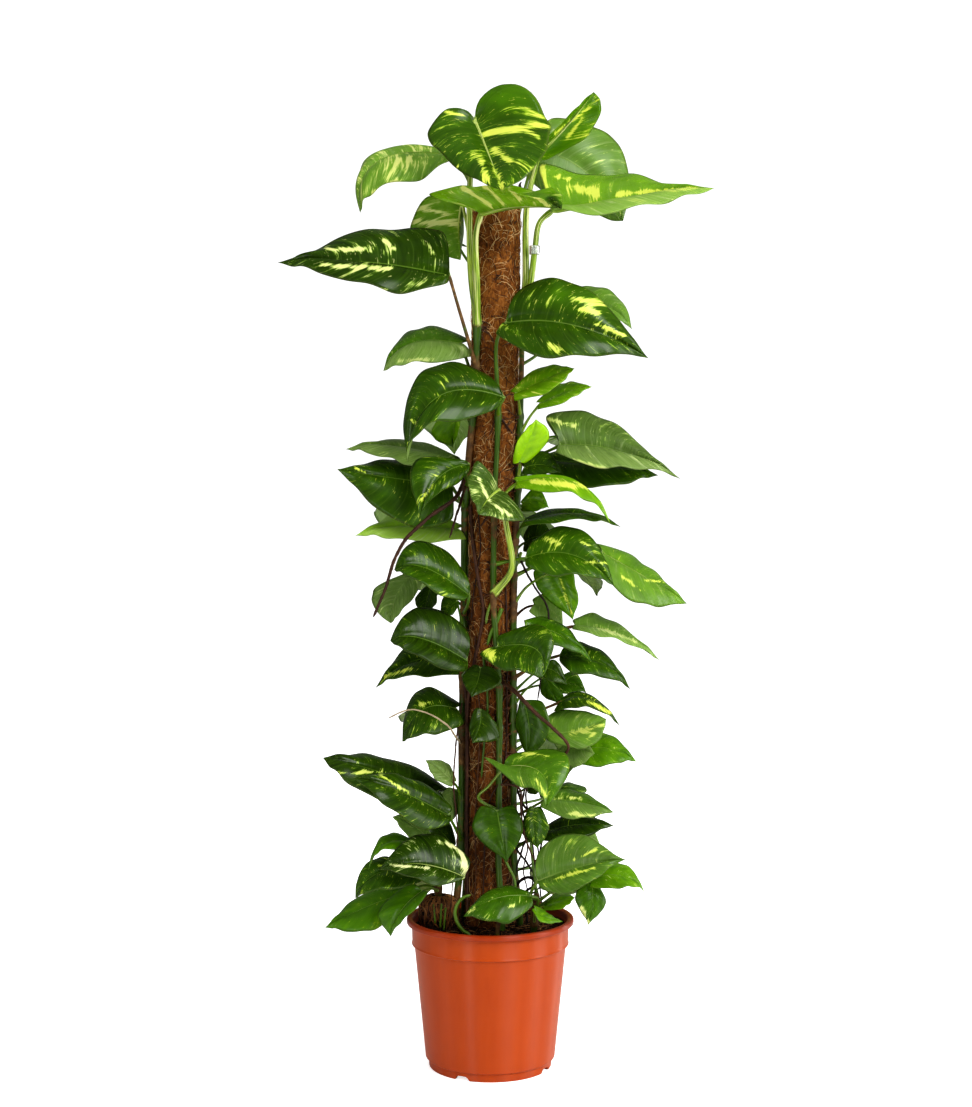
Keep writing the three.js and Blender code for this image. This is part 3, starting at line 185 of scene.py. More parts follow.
# Leaves: name, stem, height of the joint and bends of the stalk, then base, middle, tip, left and
# right side, and for some the lobes beside the base. Points are seen ones, see place()
LEAVES = [
    ("crown_heart", "left", 1062, [(-27, 1130, -44), (-29, 1250, -46)], (-22, 1350, -50),
     (-5, 1308, -86), (18, 1250, -176), (-88, 1330, -66), (80, 1350, -70), (-60, 1366, -56),
     (20, 1399, -58)),
    ("crown_left", "back_left", 1165, [(-25, 1215, 28), (-31, 1264, 28)], (-58, 1300, 20),
     (-160, 1291, 12), (-184, 1217, -8), (-118, 1312, 55), (-98, 1266, -30), (-62, 1306, 36),
     (-62, 1290, -2)),
    ("crown_low", "left", 1056, [(-19, 1120, -52), (-20, 1190, -56)], (-13, 1218, -62),
     (45, 1228, -105), (101, 1224, -150), (-42, 1255, -128), (62, 1250, -66), (-86, 1244, -92),
     (8, 1257, -58)),
    ("crown_under", "back_left", 1120, [(-31, 1190, 2)], (-40, 1234, 14), (-45, 1197, 6),
     (-42, 1152, -18), (-112, 1204, 16), (-37, 1194, 36), (-88, 1242, 14), (-40, 1238, 30)),
    ("left_long", "left", 1000, [(-33, 1045, -46), (-45, 1085, -50)], (-58, 1130, -55),
     (-180, 1150, -68), (-302, 1148, -60), (-112, 1195, -10), (-120, 1106, -102), (-66, 1192, -20),
     (-66, 1118, -88)),
    ("right_folded", "right", 1078, [(50, 1120, -10), (52, 1230, -12)], (70, 1303, -16),
     (112, 1346, -28), (146, 1388, -40), (84, 1328, -46), (130, 1320, -28)),
    ("right_pale", "back_right", 1200, [(50, 1255, 28)], (63, 1304, 46), (130, 1280, 62),
     (188, 1207, 60), (148, 1338, 72), (82, 1244, 66), (86, 1351, 52), (48, 1274, 60)),
    ("right_long", "right", 1070, [(57, 1120, -20), (63, 1165, -24), (70, 1205, -26)],
     (88, 1222, -24), (200, 1240, -18), (318, 1253, -32), (126, 1272, 35), (150, 1216, -80),
     (70, 1288, 8), (90, 1222, -56)),
    ("mid_right", "front", 955, [(9, 990, -46), (10, 1040, -48)], (22, 1063, -52),
     (120, 1060, -76), (225, 1013, -62), (82, 1126, -50), (68, 1016, -102), (36, 1106, -44),
     (10, 1046, -76)),
    ("mid_right_behind", "back_right", 1035, [(55, 1055, 34)], (80, 1075, 32), (150, 1090, 26),
     (201, 1054, 10), (122, 1112, 60), (116, 1060, 0)),
    ("mid_left", "back_left", 985, [(-36, 1018, 10)], (-42, 1034, -4), (-112, 1035, -6),
     (-152, 995, -12), (-76, 1058, 40), (-72, 1008, -34)),
    ("heart_left", "front", 930, [(12, 945, -54)], (20, 958, -62), (-76, 958, -86),
     (-117, 866, -80), (-48, 1007, -50), (-38, 926, -108), (0, 988, -46), (2, 938, -88)),
    ("behind_heart", "back_left", 915, [(-40, 945, 0)], (-46, 952, -10), (-50, 922, -2),
     (-53, 887, 22), (-82, 914, 0), (-42, 926, -24)),
    ("left_flat", "back_left", 840, [(-46, 862, 4)], (-54, 870, 0), (-125, 887, -6),
     (-207, 884, -12), (-95, 892, 50), (-110, 862, -50)),
    ("left_big", "left", 800, [(-46, 818, -22)], (-56, 834, -26), (-140, 844, -34),
     (-218, 856, -40), (-98, 868, 14), (-95, 772, -56), (-58, 860, -2), (-54, 786, -44)),
    ("left_heart", "left", 830, [(-34, 850, -46)], (-30, 863, -56), (-75, 842, -82),
     (-100, 788, -96), (-96, 873, -70), (-46, 836, -84), (-48, 871, -56), (-30, 852, -66)),
    ("left_light", "back_left", 745, [(-44, 764, 6)], (-50, 770, -4), (-120, 775, -12),
     (-193, 761, -26), (-92, 795, 42), (-86, 752, -32)),
    ("small_yellow", "right", 930, [(40, 955, -32)], (37, 964, -38), (80, 985, -46),
     (120, 999, -52), (60, 995, -22), (75, 962, -70)),
    ("small_far", "right", 905, [(56, 930, -18)], (72, 950, -20), (108, 966, -24), (145, 973, -28),
     (92, 974, 4), (98, 948, -44)),
    ("right_broad", "right", 862, [(66, 874, 10)], (100, 890, -14), (182, 882, -16),
     (272, 841, -26), (128, 938, 16), (146, 860, -66), (80, 932, 4), (96, 878, -46)),
    ("right_dark", "back_right", 840, [(64, 856, 22)], (92, 868, 16), (165, 862, 12),
     (240, 847, 0), (125, 886, 60), (132, 832, -20)),
    ("bud_leaf", "right", 842, [(42, 860, -28)], (42, 868, -34), (57, 900, -44), (65, 927, -50),
     (36, 890, -50), (80, 892, -40)),
    ("small_dark", "right", 828, [(46, 850, -20)], (49, 858, -20), (76, 862, -22), (104, 849, -26),
     (70, 881, -10), (72, 848, -34)),
    ("bright_curl", "front", 795, [(22, 822, -46)], (38, 836, -46), (116, 838, -62),
     (172, 777, -72), (72, 843, -36), (74, 824, -88), (34, 843, -38), (38, 828, -62)),
    ("pale_front", "front", 680, [(30, 712, -48), (24, 770, -53)], (12, 826, -58), (-4, 812, -100),
     (-17, 791, -146), (-28, 850, -98), (50, 786, -92), (-16, 868, -80), (32, 810, -66)),
    ("right_edge", "right", 755, [(46, 775, -28)], (55, 782, -28), (120, 792, -32),
     (187, 773, -42), (84, 797, 16), (90, 780, -74)),
    ("right_small_lobe", "back_right", 780, [(46, 800, 22)], (46, 806, 24), (66, 812, 28),
     (84, 800, 28), (60, 828, 36), (64, 796, 10)),
    ("right_shaded", "back_right", 735, [(44, 748, 14)], (50, 752, 8), (70, 760, 6), (94, 750, 0),
     (62, 786, 20), (62, 738, -16)),
    ("right_mid", "front", 722, [(36, 727, -42)], (50, 729, -48), (118, 734, -62), (177, 689, -68),
     (98, 774, -36), (88, 704, -90), (62, 756, -36), (54, 716, -68)),
    ("right_far", "right", 705, [(90, 728, 0)], (160, 737, -8), (222, 702, -16), (281, 664, -28),
     (196, 736, 30), (190, 676, -50)),
    ("under_mid", "right", 665, [(52, 688, -30), (82, 706, -30)], (93, 706, -30), (106, 678, -36),
     (118, 641, -42), (66, 690, -22), (122, 688, -42), (63, 712, -20), (117, 711, -34)),
    ("pale_low", "back_right", 640, [(50, 658, 14)], (63, 662, 4), (88, 655, 4), (104, 632, 2),
     (86, 682, 22), (74, 640, -8)),
    ("right_striped", "right", 624, [(90, 627, 0)], (121, 632, -10), (184, 619, -18),
     (243, 582, -28), (146, 650, 26), (148, 620, -52), (119, 642, 4), (119, 627, -26)),
    ("behind_gloss", "right", 605, [(40, 624, -34)], (50, 631, -40), (100, 620, -42),
     (146, 580, -48), (78, 645, -14), (74, 608, -64), (50, 642, -32), (52, 620, -52)),
    ("gloss_front", "front", 578, [(8, 594, -52)], (11, 602, -60), (64, 600, -90), (76, 560, -108),
     (60, 634, -66), (16, 570, -98), (14, 620, -52), (-15, 592, -74)),
    ("dark_small", "right", 540, [(60, 562, -30)], (76, 572, -44), (94, 566, -48), (110, 547, -52),
     (90, 584, -42), (84, 554, -58)),
    ("right_low", "right", 560, [(75, 582, -16)], (99, 590, -20), (158, 580, -28), (201, 540, -36),
     (128, 609, 6), (116, 566, -52), (108, 604, 0), (101, 579, -28)),
    ("pale_tip", "back_right", 530, [(60, 545, 8)], (88, 550, 12), (112, 552, 12), (138, 536, 8),
     (112, 566, 32), (108, 535, 0)),
    ("green_wedge", "right", 520, [(50, 540, -22), (74, 558, -20)], (80, 558, -12), (88, 540, -10),
     (97, 522, -10), (72, 538, -2), (103, 536, -14)),
    ("drip_tip", "right", 500, [(78, 514, -24)], (102, 524, -28), (142, 528, -34), (187, 487, -42),
     (118, 537, -14), (120, 515, -54)),
    ("hanging_mid", "right", 484, [(44, 520, -30)], (47, 526, -38), (56, 484, -46), (52, 438, -44),
     (36, 492, -30), (84, 500, -56), (43, 530, -34), (74, 524, -46)),
    ("yellow_edge", "right", 455, [(58, 468, -28)], (77, 480, -34), (124, 482, -50),
     (166, 499, -58), (102, 512, -22), (124, 456, -74), (77, 500, -26), (84, 466, -44)),
    ("right_light", "right", 430, [(80, 444, -20)], (125, 452, -24), (168, 457, -30),
     (210, 437, -36), (150, 478, 0), (152, 430, -54)),
    ("silver", "right", 420, [(75, 436, -30)], (106, 460, -36), (128, 456, -52), (150, 449, -72),
     (126, 470, -34), (116, 430, -58)),
    ("centre_gloss", "front", 372, [(-17, 386, -52), (-2, 402, -60)], (20, 430, -70),
     (72, 422, -102), (80, 372, -124), (90, 455, -78), (38, 404, -112), (34, 450, -64),
     (-9, 444, -76)),
    ("left_corner", "left", 490, [(-46, 508, -16)], (-50, 514, -20), (-97, 512, -34),
     (-126, 466, -46), (-84, 544, 12), (-72, 478, -60)),
    ("left_round", "left", 650, [(-32, 664, -44)], (-30, 676, -52), (-94, 716, -66),
     (-137, 712, -72), (-64, 740, -38), (-70, 676, -94), (-35, 708, -42), (-40, 668, -70)),
    ("left_hanging", "back_left", 670, [(-62, 700, 14)], (-106, 708, -8), (-132, 680, -18),
     (-142, 636, -26), (-160, 690, -4), (-110, 672, -36)),
    ("left_shaded", "back_left", 650, [(-60, 678, 6)], (-84, 690, -4), (-90, 672, -12),
     (-96, 648, -18), (-106, 674, -2), (-76, 668, -26)),
    ("left_bud", "left", 630, [(-44, 652, -14)], (-47, 668, -18), (-58, 660, -24), (-72, 648, -28),
     (-64, 676, -10), (-52, 650, -32)),
    ("left_heart_low", "left", 560, [(-34, 572, -44)], (-34, 583, -52), (-100, 615, -70),
     (-143, 611, -74), (-62, 650, -38), (-68, 571, -92), (-30, 622, -42), (-38, 567, -70)),
    ("left_behind_low", "back_left", 555, [(-44, 574, 20)], (-54, 580, 16), (-110, 582, 4),
     (-165, 542, -16), (-82, 614, 46), (-86, 560, -34)),
    ("wedge_front", "front", 548, [(-6, 566, -44)], (-14, 572, -46), (-18, 553, -60),
     (-27, 530, -80), (-39, 562, -52), (16, 556, -62)),
    ("wedge_low", "front", 490, [(-6, 506, -42)], (-14, 512, -44), (-15, 490, -56),
     (-26, 464, -78), (-30, 490, -52), (14, 478, -58)),
    ("left_point", "left", 385, [(-48, 402, -20)], (-53, 408, -26), (-70, 424, -32),
     (-93, 440, -36), (-58, 432, -10), (-76, 410, -48)),
    ("left_grey", "back_left", 375, [(-44, 394, 6)], (-54, 398, 8), (-57, 378, 2), (-54, 350, -4),
     (-76, 382, -16), (-44, 372, 16)),
    ("left_deep", "back_left", 300, [(-46, 308, 14)], (-54, 316, 14), (-70, 336, 18),
     (-90, 350, 16), (-56, 346, 36), (-84, 318, -2)),
    ("right_shaded_low", "back_right", 385, [(48, 397, 20)], (54, 403, 18), (66, 408, 20),
     (80, 398, 18), (64, 426, 32), (64, 390, 4)),
    ("left_wing", "back_left", 365, [(-60, 397, 24)], (-78, 394, -10), (-168, 426, -26),
     (-240, 443, -34), (-114, 432, 26), (-130, 370, -58)),
    ("left_wing_low", "left", 325, [(-52, 346, -44)], (-60, 360, -60), (-132, 396, -80),
     (-196, 414, -88), (-92, 404, -42), (-96, 340, -108), (-57, 376, -46), (-60, 346, -76)),
    ("plug_pale", "plug", 285, [(-82, 312, -30)], (-86, 324, -34), (-112, 346, -40),
     (-141, 358, -44), (-98, 354, -12), (-110, 322, -54)),
    ("plug_arch", "plug", 280, [(-92, 302, -40)], (-106, 316, -52), (-150, 320, -64),
     (-175, 280, -72), (-132, 334, -36), (-132, 310, -80)),
    ("cream_edge", "plug", 262, [(-62, 266, -46), (-46, 268, -66)], (-38, 271, -80),
     (-102, 290, -98), (-161, 281, -102), (-72, 330, -60), (-76, 258, -120), (-30, 298, -68),
     (-40, 266, -92)),
    ("plug_dark", "plug", 272, [(-96, 280, -48)], (-110, 279, -54), (-162, 276, -72),
     (-194, 240, -82), (-148, 300, -44), (-136, 254, -96)),
    ("over_rim", "plug", 258, [(-96, 258, -14)], (-126, 246, -18), (-182, 226, -28),
     (-238, 197, -40), (-164, 254, 4), (-160, 198, -48)),
    ("over_rim_front", "plug", 254, [(-84, 254, -50)], (-97, 251, -72), (-128, 222, -78),
     (-143, 184, -72), (-151, 234, -56), (-106, 226, -96), (-116, 262, -62), (-90, 247, -86)),
    ("pole_heart", "low", 236, [(36, 259, -58), (21, 298, -52), (10, 345, -48)], (10, 367, -52),
     (16, 332, -62), (24, 292, -66), (-26, 346, -52), (46, 350, -60), (-14, 373, -48),
     (33, 374, -50)),
    ("right_pair", "right", 360, [(64, 374, -34)], (82, 384, -46), (130, 379, -54),
     (178, 364, -62), (108, 398, -18), (108, 356, -80)),
    ("right_deep", "right", 315, [(64, 330, -22)], (84, 338, -30), (130, 347, -38),
     (178, 345, -46), (108, 360, -4), (106, 320, -62)),
    ("right_pale_low", "back_right", 310, [(80, 328, 10)], (116, 336, -4), (140, 332, -8),
     (158, 315, -14), (134, 346, 14), (130, 322, -26)),
    ("striped_small", "low_right", 255, [(58, 330, -50)], (62, 370, -52), (62, 342, -58),
     (68, 312, -60), (46, 348, -46), (84, 346, -64)),
    ("gloss_right", "low_right", 250, [(58, 246, -72)], (68, 265, -86), (130, 286, -104),
     (195, 296, -112), (98, 330, -68), (108, 246, -128), (68, 306, -70), (76, 252, -106)),
    ("right_pale_tip", "low_right", 245, [(110, 262, -62)], (148, 268, -70), (188, 273, -76),
     (222, 249, -82), (176, 290, -50), (180, 254, -98)),
    ("over_rim_right", "low_right", 235, [(100, 250, -56), (124, 264, -54)], (145, 263, -64),
     (147, 238, -72), (141, 201, -76), (122, 243, -70), (166, 240, -66)),
    ("foot_gloss", "low_right", 228, [(68, 240, -78)], (58, 243, -88), (8, 240, -106),
     (-39, 213, -108), (26, 258, -72), (30, 205, -122), (54, 250, -80), (60, 228, -102)),
    ("foot_light", "low_right", 218, [(70, 226, -52)], (78, 228, -54), (100, 236, -62),
     (122, 241, -76), (96, 246, -38), (100, 224, -82)),
    ("foot_curl", "low_right", 214, [(64, 218, -68)], (64, 223, -92), (80, 212, -90),
     (105, 206, -78), (76, 224, -76), (70, 208, -106)),
    ("rear_crown", "back", 1180, [(18, 1240, 70)], (20, 1275, 80), (24, 1310, 120),
     (20, 1318, 175), (-24, 1300, 110), (66, 1300, 110)),
    ("rear_top", "back", 1050, [(40, 1062, 70)], (62, 1076, 90), (92, 1085, 140), (120, 1070, 200),
     (52, 1090, 140), (125, 1068, 120)),
    ("rear_left_top", "back", 920, [(-28, 934, 70)], (-42, 950, 90), (-66, 958, 140),
     (-84, 940, 205), (-104, 950, 112), (-16, 952, 134)),
    ("rear_right_top", "back_right", 880, [(70, 892, 50)], (96, 900, 70), (130, 904, 120),
     (160, 884, 185), (92, 910, 130), (168, 890, 92)),
    ("rear_left_mid", "back_left", 800, [(-62, 820, 44)], (-84, 834, 66), (-112, 838, 120),
     (-128, 818, 186), (-150, 828, 88), (-68, 830, 124)),
    ("rear_right_mid", "back_right", 720, [(60, 730, 50)], (82, 738, 70), (110, 742, 120),
     (132, 722, 180), (74, 744, 126), (146, 726, 92)),
    ("rear_left_low", "back_left", 600, [(-50, 608, 50)], (-66, 612, 70), (-88, 616, 122),
     (-100, 598, 186), (-124, 608, 92), (-46, 610, 128)),
    ("rear_right_low", "back", 585, [(20, 596, 70)], (34, 602, 88), (52, 606, 140), (66, 590, 200),
     (14, 604, 146), (94, 594, 114)),
    ("rear_centre", "back_right", 460, [(56, 474, 54)], (70, 484, 72), (88, 490, 126),
     (100, 474, 188), (48, 490, 130), (124, 480, 98)),
    ("rear_left_foot", "back", 390, [(-40, 392, 74)], (-60, 396, 92), (-84, 400, 144),
     (-104, 384, 204), (-118, 394, 112), (-46, 396, 154)),
    ("rear_foot_right", "back_right", 275, [(70, 286, 66)], (86, 292, 86), (106, 294, 136),
     (120, 276, 192), (66, 296, 142), (140, 282, 110)),
    ("rear_foot_left", "back_left", 270, [(-64, 286, 60)], (-82, 294, 78), (-102, 298, 128),
     (-116, 282, 186), (-138, 290, 100), (-64, 292, 134)),
    ("rear_upper_left", "back", 1112, [(-24, 1140, 66)], (-46, 1172, 92), (-74, 1180, 138),
     (-98, 1162, 200), (-108, 1170, 112), (-48, 1186, 138)),
    ("rear_upper_right", "back_right", 1000, [(66, 1018, 48)], (84, 1040, 66), (116, 1052, 114),
     (146, 1034, 176), (76, 1056, 124), (152, 1036, 90)),
    ("rear_centre_top", "back", 790, [(14, 802, 72)], (26, 810, 90), (46, 815, 142),
     (58, 796, 206), (2, 812, 146), (86, 804, 116)),
    ("rear_left_between", "back_left", 700, [(-54, 710, 50)], (-72, 720, 72), (-98, 725, 120),
     (-116, 704, 186), (-138, 714, 90), (-56, 719, 130)),
    ("rear_left_under", "back_left", 500, [(-52, 510, 50)], (-68, 518, 72), (-92, 522, 122),
     (-108, 502, 190), (-130, 513, 92), (-50, 516, 130)),
    ("rear_right_foot", "back_right", 370, [(68, 382, 56)], (90, 390, 76), (114, 395, 126),
     (132, 376, 188), (76, 396, 132), (150, 382, 98)),
]

# How fast each half narrows towards the tip: below 1 it stays full, above 1 it is slender
NARROWING = {
    "crown_heart": (0.55, 0.55), "crown_left": (0.4, 0.6), "crown_under": (0.7, 0.7),
    "left_long": (1.4, 1), "right_folded": (0.6, 0.6), "right_pale": (0.6, 0.6),
    "right_long": (1.6, 0.7), "mid_left": (0.7, 0.7), "heart_left": (0.45, 0.45),
    "right_broad": (1.4, 1.4), "right_mid": (0.8, 0.8), "right_striped": (1.4, 1.2),
    "right_low": (1.2, 1.2), "gloss_front": (0.55, 0.55), "mid_right_behind": (0.5, 1),
    "left_round": (0.7, 0.7), "left_heart_low": (0.7, 0.7), "left_corner": (0.7, 0.7),
    "left_wing": (0.8, 0.8), "plug_dark": (0.7, 0.7), "centre_gloss": (0.55, 0.55),
    "gloss_right": (1.2, 1.2), "crown_low": (0.8, 0.8), "left_hanging": (0.7, 0.7),
    "yellow_edge": (0.8, 0.8),
}

# How a leaf at the back hangs: degrees of droop, degrees that it swings to the right seen from
# above, and its size
HANGING = {
    "rear_top": (-14, -16, 0.95), "rear_left_top": (34, 16, 1), "rear_right_top": (14, -18, 0.85),
    "rear_left_mid": (26, -12, 1.05), "rear_right_mid": (24, 20, 1),
    "rear_left_low": (16, 10, 1.1), "rear_right_low": (-16, -14, 0.85), "rear_centre": (30, 12, 1),
    "rear_left_foot": (12, 14, 0.9), "rear_foot_right": (24, -10, 1),
    "rear_foot_left": (32, -8, 0.95), "rear_upper_left": (22, -10, 1),
    "rear_upper_right": (10, 14, 0.9), "rear_centre_top": (36, 16, 1),
    "rear_left_between": (20, 18, 0.9), "rear_left_under": (10, -12, 0.85),
    "rear_right_foot": (-12, -12, 0.85),
}

# How far the round lobes of a half stand out past the plain outline (mm)
FULL_LOBES = {"crown_heart": (0, 9)}

# Radius of the stalks that are stouter than their leaf's length gives (mm)
STOUT = {
    "crown_heart": 5.2, "crown_low": 5.4, "right_folded": 5.2, "right_long": 5.2, "pale_front": 5,
    "crown_under": 2.9, "mid_right": 3.4,
}

# Roots seen in the photo: radius, shade from dark to light, and seen points
ROOTS = [
    (3.2, 0.35, [(-33, 850, -15), (-50, 815, -70), (-90, 785, -80), (-120, 755, -80),
     (-137, 725, -84), (-150, 685, -80), (-167, 645, -76)]),
    (2.4, 0.35, [(-34, 836, -13), (-45, 800, -66), (-58, 758, -70)]),
    (3.4, 0.45, [(12, 556, -40), (33, 541, -58), (64, 509, -78), (100, 476, -90), (112, 460, -86),
     (107, 446, -78)]),
    (1.8, 0.4, [(14, 404, -38), (30, 404, -48), (43, 398, -50), (44, 368, -56), (47, 339, -56),
     (57, 310, -66), (71, 281, -62)]),
    (1.6, 1.15, [(-42, 464, -6), (-50, 474, -50), (-62, 491, -72), (-84, 505, -76),
     (-115, 512, -76), (-146, 500, -78)]),
]

# A thick root on the coir: radius, and points as those of the climbing stems
POLE_ROOT = (3, [(566, -174, 3), (540, -160, 0), (470, -151, 0), (400, -150, 0), (320, -147, 0),
    (245, -143, 0)])

# The bent bare stalk at the foot of the pole: radius, and points as those of the shoots
LOOP = (3, [(-30, -84, 170), (-30, -84, 207), (-38, -86, 214), (-46, -88, 226), (-49, -90, 240),
    (-46, -91, 252), (-38, -91, 261), (-27, -90, 265)])

# Thin roots and vines that only dress the plant: radius, shade, and points on the coir ...
VINES_ON_POLE = [
    (2.7, 0.42, [(805, -152, 0), (745, -136, 0), (700, -122, 0), (655, -106, 0), (612, -119, 0),
     (560, -140, 0), (512, -154, 0), (440, -156, 0), (375, -154, 0), (300, -150, 0),
     (215, -142, 0)]),
    (1.4, 0.3, [(690, -58, 0), (600, -51, 0), (540, -52, 0), (461, -50, 0), (430, -58, 0),
     (411, -74, 11), (392, -92, 0), (330, -101, 0), (215, -104, 0)]),
    (1.2, 0.55, [(620, -132, 0), (560, -124, 0), (500, -112, 0), (430, -118, 0), (350, -126, 0),
     (290, -120, 0), (215, -126, 0)]),
    (1.1, 0.2, [(860, -120, 0), (800, -128, 0), (742, -118, 0), (690, -136, 0), (640, -146, 0)]),
]

# ... or seen points
VINES_HANGING = [
    (1.6, 0.15, [(44, 436, -20), (50, 410, -30), (46, 370, -34), (58, 330, -40), (64, 290, -44),
     (60, 250, -40), (64, 206, -40)]),
    (1.4, 0.2, [(58, 424, -30), (52, 384, -30), (62, 345, -30), (70, 300, -36), (66, 262, -44),
     (60, 206, -48)]),
    (1.8, 0.1, [(37, 404, -12), (48, 374, -24), (66, 356, -30), (76, 330, -36), (70, 290, -40),
     (74, 240, -36), (76, 204, -30)]),
    (1.3, 0.3, [(38, 352, -14), (54, 318, -26), (48, 280, -28), (56, 240, -30), (52, 204, -30)]),
    (1.8, 0.1, [(38, 738, -12), (50, 712, -20), (62, 690, -22), (80, 662, -22), (83, 640, -22),
     (76, 590, -24), (68, 526, -26)]),
    (1.3, 0.45, [(-40, 522, -10), (-49, 470, -26), (-52, 400, -30), (-47, 330, -34),
     (-54, 262, -38), (-58, 206, -38)]),
    (2.6, 0.05, [(40, 1242, -4), (43, 1250, -5), (41, 1256, -5), (44, 1262, -5)]),
    (1.9, 0.05, [(34, 322, -22), (40, 307, -26), (48, 296, -30), (57, 283, -34), (66, 269, -36),
     (78, 256, -36)]),
    (1.6, 0.1, [(74, 302, -30), (63, 294, -30), (54, 287, -28), (45, 283, -26), (36, 277, -16)]),
    (1.7, 0.05, [(54, 330, -26), (48, 315, -26), (44, 301, -24), (39, 286, -20), (38, 268, -20),
     (36, 248, -20), (38, 206, -24)]),
    (2.5, 0.05, [(38, 260, -24), (44, 266, -28), (50, 269, -30), (57, 270, -32), (64, 264, -34),
     (62, 256, -34), (54, 252, -32), (48, 246, -30), (50, 226, -28), (54, 204, -30)]),
    (1.5, 0.2, [(44, 250, -20), (54, 246, -24), (64, 250, -30), (74, 262, -38), (80, 272, -40)]),
]

# Green stalks on the pole without a leaf in sight: radius, how light, and points on the coir
STALKS_ON_POLE = [
    (2.3, 0.62, [(738, -14, 7), (722, -28, 3), (698, -60, 0), (676, -88, 5), (652, -102, 0),
     (634, -104, 0)]),
    (3.0, 0.42, [(660, -66, 0), (646, -76, 3), (628, -92, 3), (604, -102, 0)]),
    (1.8, 0.2, [(600, -112, 0), (560, -100, 0), (520, -96, 0), (470, -104, 0), (420, -110, 0)]),
]

# Green shoots that break from the root plug: from, to
SPROUTS = [
    ((-71, -43, 208), (-69, -44, 242)), ((-66, -43, 204), (-63, -42, 236)),
    ((-78, -42, 214), (-80, -41, 240)),
]

